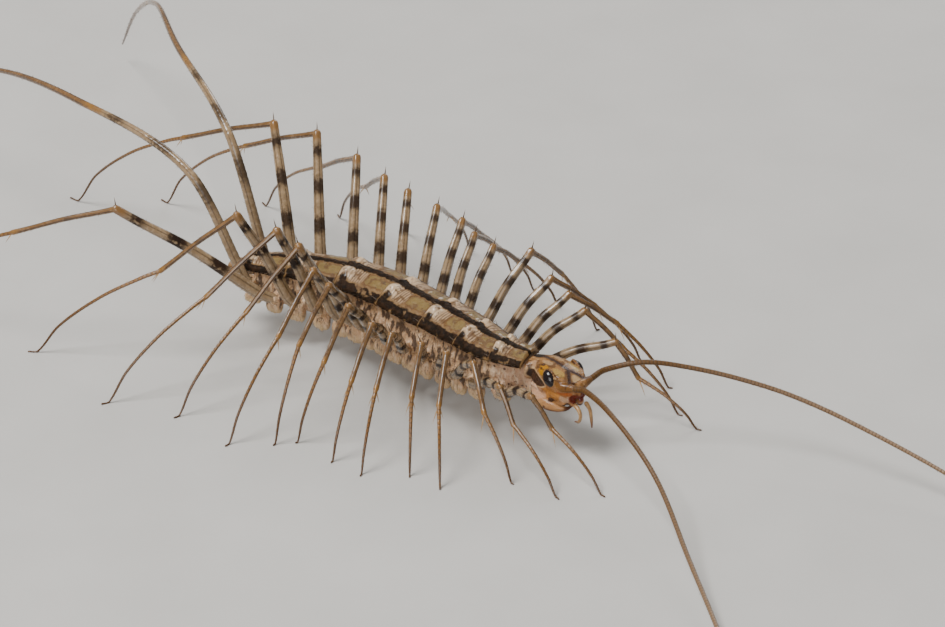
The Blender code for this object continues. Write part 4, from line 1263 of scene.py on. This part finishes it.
def build_stage():
    size = FLOOR_HALF
    mesh = bpy.data.meshes.new("studio_floor")
    corners = [(-size, -size, 0), (size, -size, 0), (size, size, 0), (-size, size, 0)]
    mesh.from_pydata(corners, [], [(0, 1, 2, 3)])
    mesh.materials.append(floor_look())
    floor = bpy.data.objects.new("studio_floor", mesh)
    bpy.context.scene.collection.objects.link(floor)
    world = bpy.data.worlds.new("studio")
    bpy.context.scene.world = world
    world.use_nodes = True
    room = world.node_tree.nodes["Background"]
    room.inputs["Color"].default_value = (*ROOM_COLOUR, 1)
    room.inputs["Strength"].default_value = ROOM_LIGHT
    for name, at, power, width in LAMPS:
        light = bpy.data.lights.new(name, "AREA")
        light.energy = power
        light.size = width
        lamp = bpy.data.objects.new(name, light)
        lamp.location = at
        lamp.rotation_euler = (LAMPS_AIM - Vector(at)).to_track_quat("-Z", "Y").to_euler()
        bpy.context.scene.collection.objects.link(lamp)


def build_camera():
    turn = math.radians(VIEW_TURN)
    tilt = math.radians(VIEW_TILT)
    ahead = Vector((-math.sin(turn) * math.cos(tilt), math.cos(turn) * math.cos(tilt), -math.sin(tilt)))
    lens = bpy.data.cameras.new("camera")
    lens.sensor_width = SENSOR_WIDTH
    lens.sensor_fit = "HORIZONTAL"
    lens.lens = VIEW_DISTANCE * VIEW_PIXELS_PER_MM / IMAGE_WIDTH * SENSOR_WIDTH
    lens.clip_start = 0.002
    camera = bpy.data.objects.new("camera", lens)
    camera.location = (Vector(VIEW_AIM) - ahead * VIEW_DISTANCE) * MM
    camera.rotation_euler = ahead.to_track_quat("-Z", "Y").to_euler()
    bpy.context.scene.collection.objects.link(camera)
    bpy.context.scene.camera = camera


def named(start):
    """The solids of a part: itself, or its lengths."""
    return [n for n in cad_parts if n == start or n.startswith(start + "_")]


def main():
    build_camera()
    build_stage()
    rng = np.random.default_rng(SEED)
    skin = trunk_skin(rng)
    add_piece("trunk_skin", skin, skin_look(), named("trunk"))
    plates = plate_look()
    for k in range(len(LEGS_IN_TERGITE)):
        add_piece(f"back_plate_{k + 1}", plate(k), plates)
    head = head_look()
    add_piece("head_skin", head_skin(), head, ["head"])
    eyes = eye_look()
    palps = palp_look()
    legs = {1: leg_look("far_legs", 0.92), -1: leg_look("near_legs", 1.0)}
    trailing = leg_look("trailing_legs", 0.75)
    feelers = feeler_look()
    spines = Spines(8)
    hairs = Spines(4)
    stations = leg_stations()
    for side, label in ((1, "left"), (-1, "right")):
        add_piece(f"eye_dome_{label}", eye(side), eyes, [f"eye_{label}"])
        add_piece(f"claw_{label}", claw(side), head, [f"forcipule_{label}"])
        palp = [head_point(*p) for p in (LEFT_PALP if side > 0 else RIGHT_PALP)]
        add_piece(f"palp_tube_{label}", tube(palp, PALP_SIZES, 50, 16), palps, [f"palp_{label}"])
        part = feeler(side)
        add_piece(f"feeler_{label}", part, feelers, named(f"antenna_{label}"))
        dress_tube(part, FEELER_SIDES, FEELER_HAIRS, side, hairs, rng)
        for i, pose in enumerate(LEFT_LEGS if side > 0 else RIGHT_LEGS):
            points = leg_points(stations[i], side, pose)
            tubes = leg_tubes(points, i)
            name = f"leg_{label}_{i + 1:02d}"
            add_piece(f"{name}_looks", joined(tubes), legs[side], named(name))
            dress_leg(tubes, points, i + (15 if side > 0 else 0), spines, hairs, rng)
        part = trailing_leg(side)
        add_piece(f"leg_{label}_15_looks", part, trailing, named(f"leg_{label}_15"))
        dress_tube(part, LEG_SIDES, TRAIL_HAIRS, side, hairs, rng)
    dress_skin(skin, hairs, rng)
    dress_plates(hairs, spines, rng)
    look = spine_look()
    spines.piece("joint_spines", look)
    hairs.piece("bristles", look)


main()
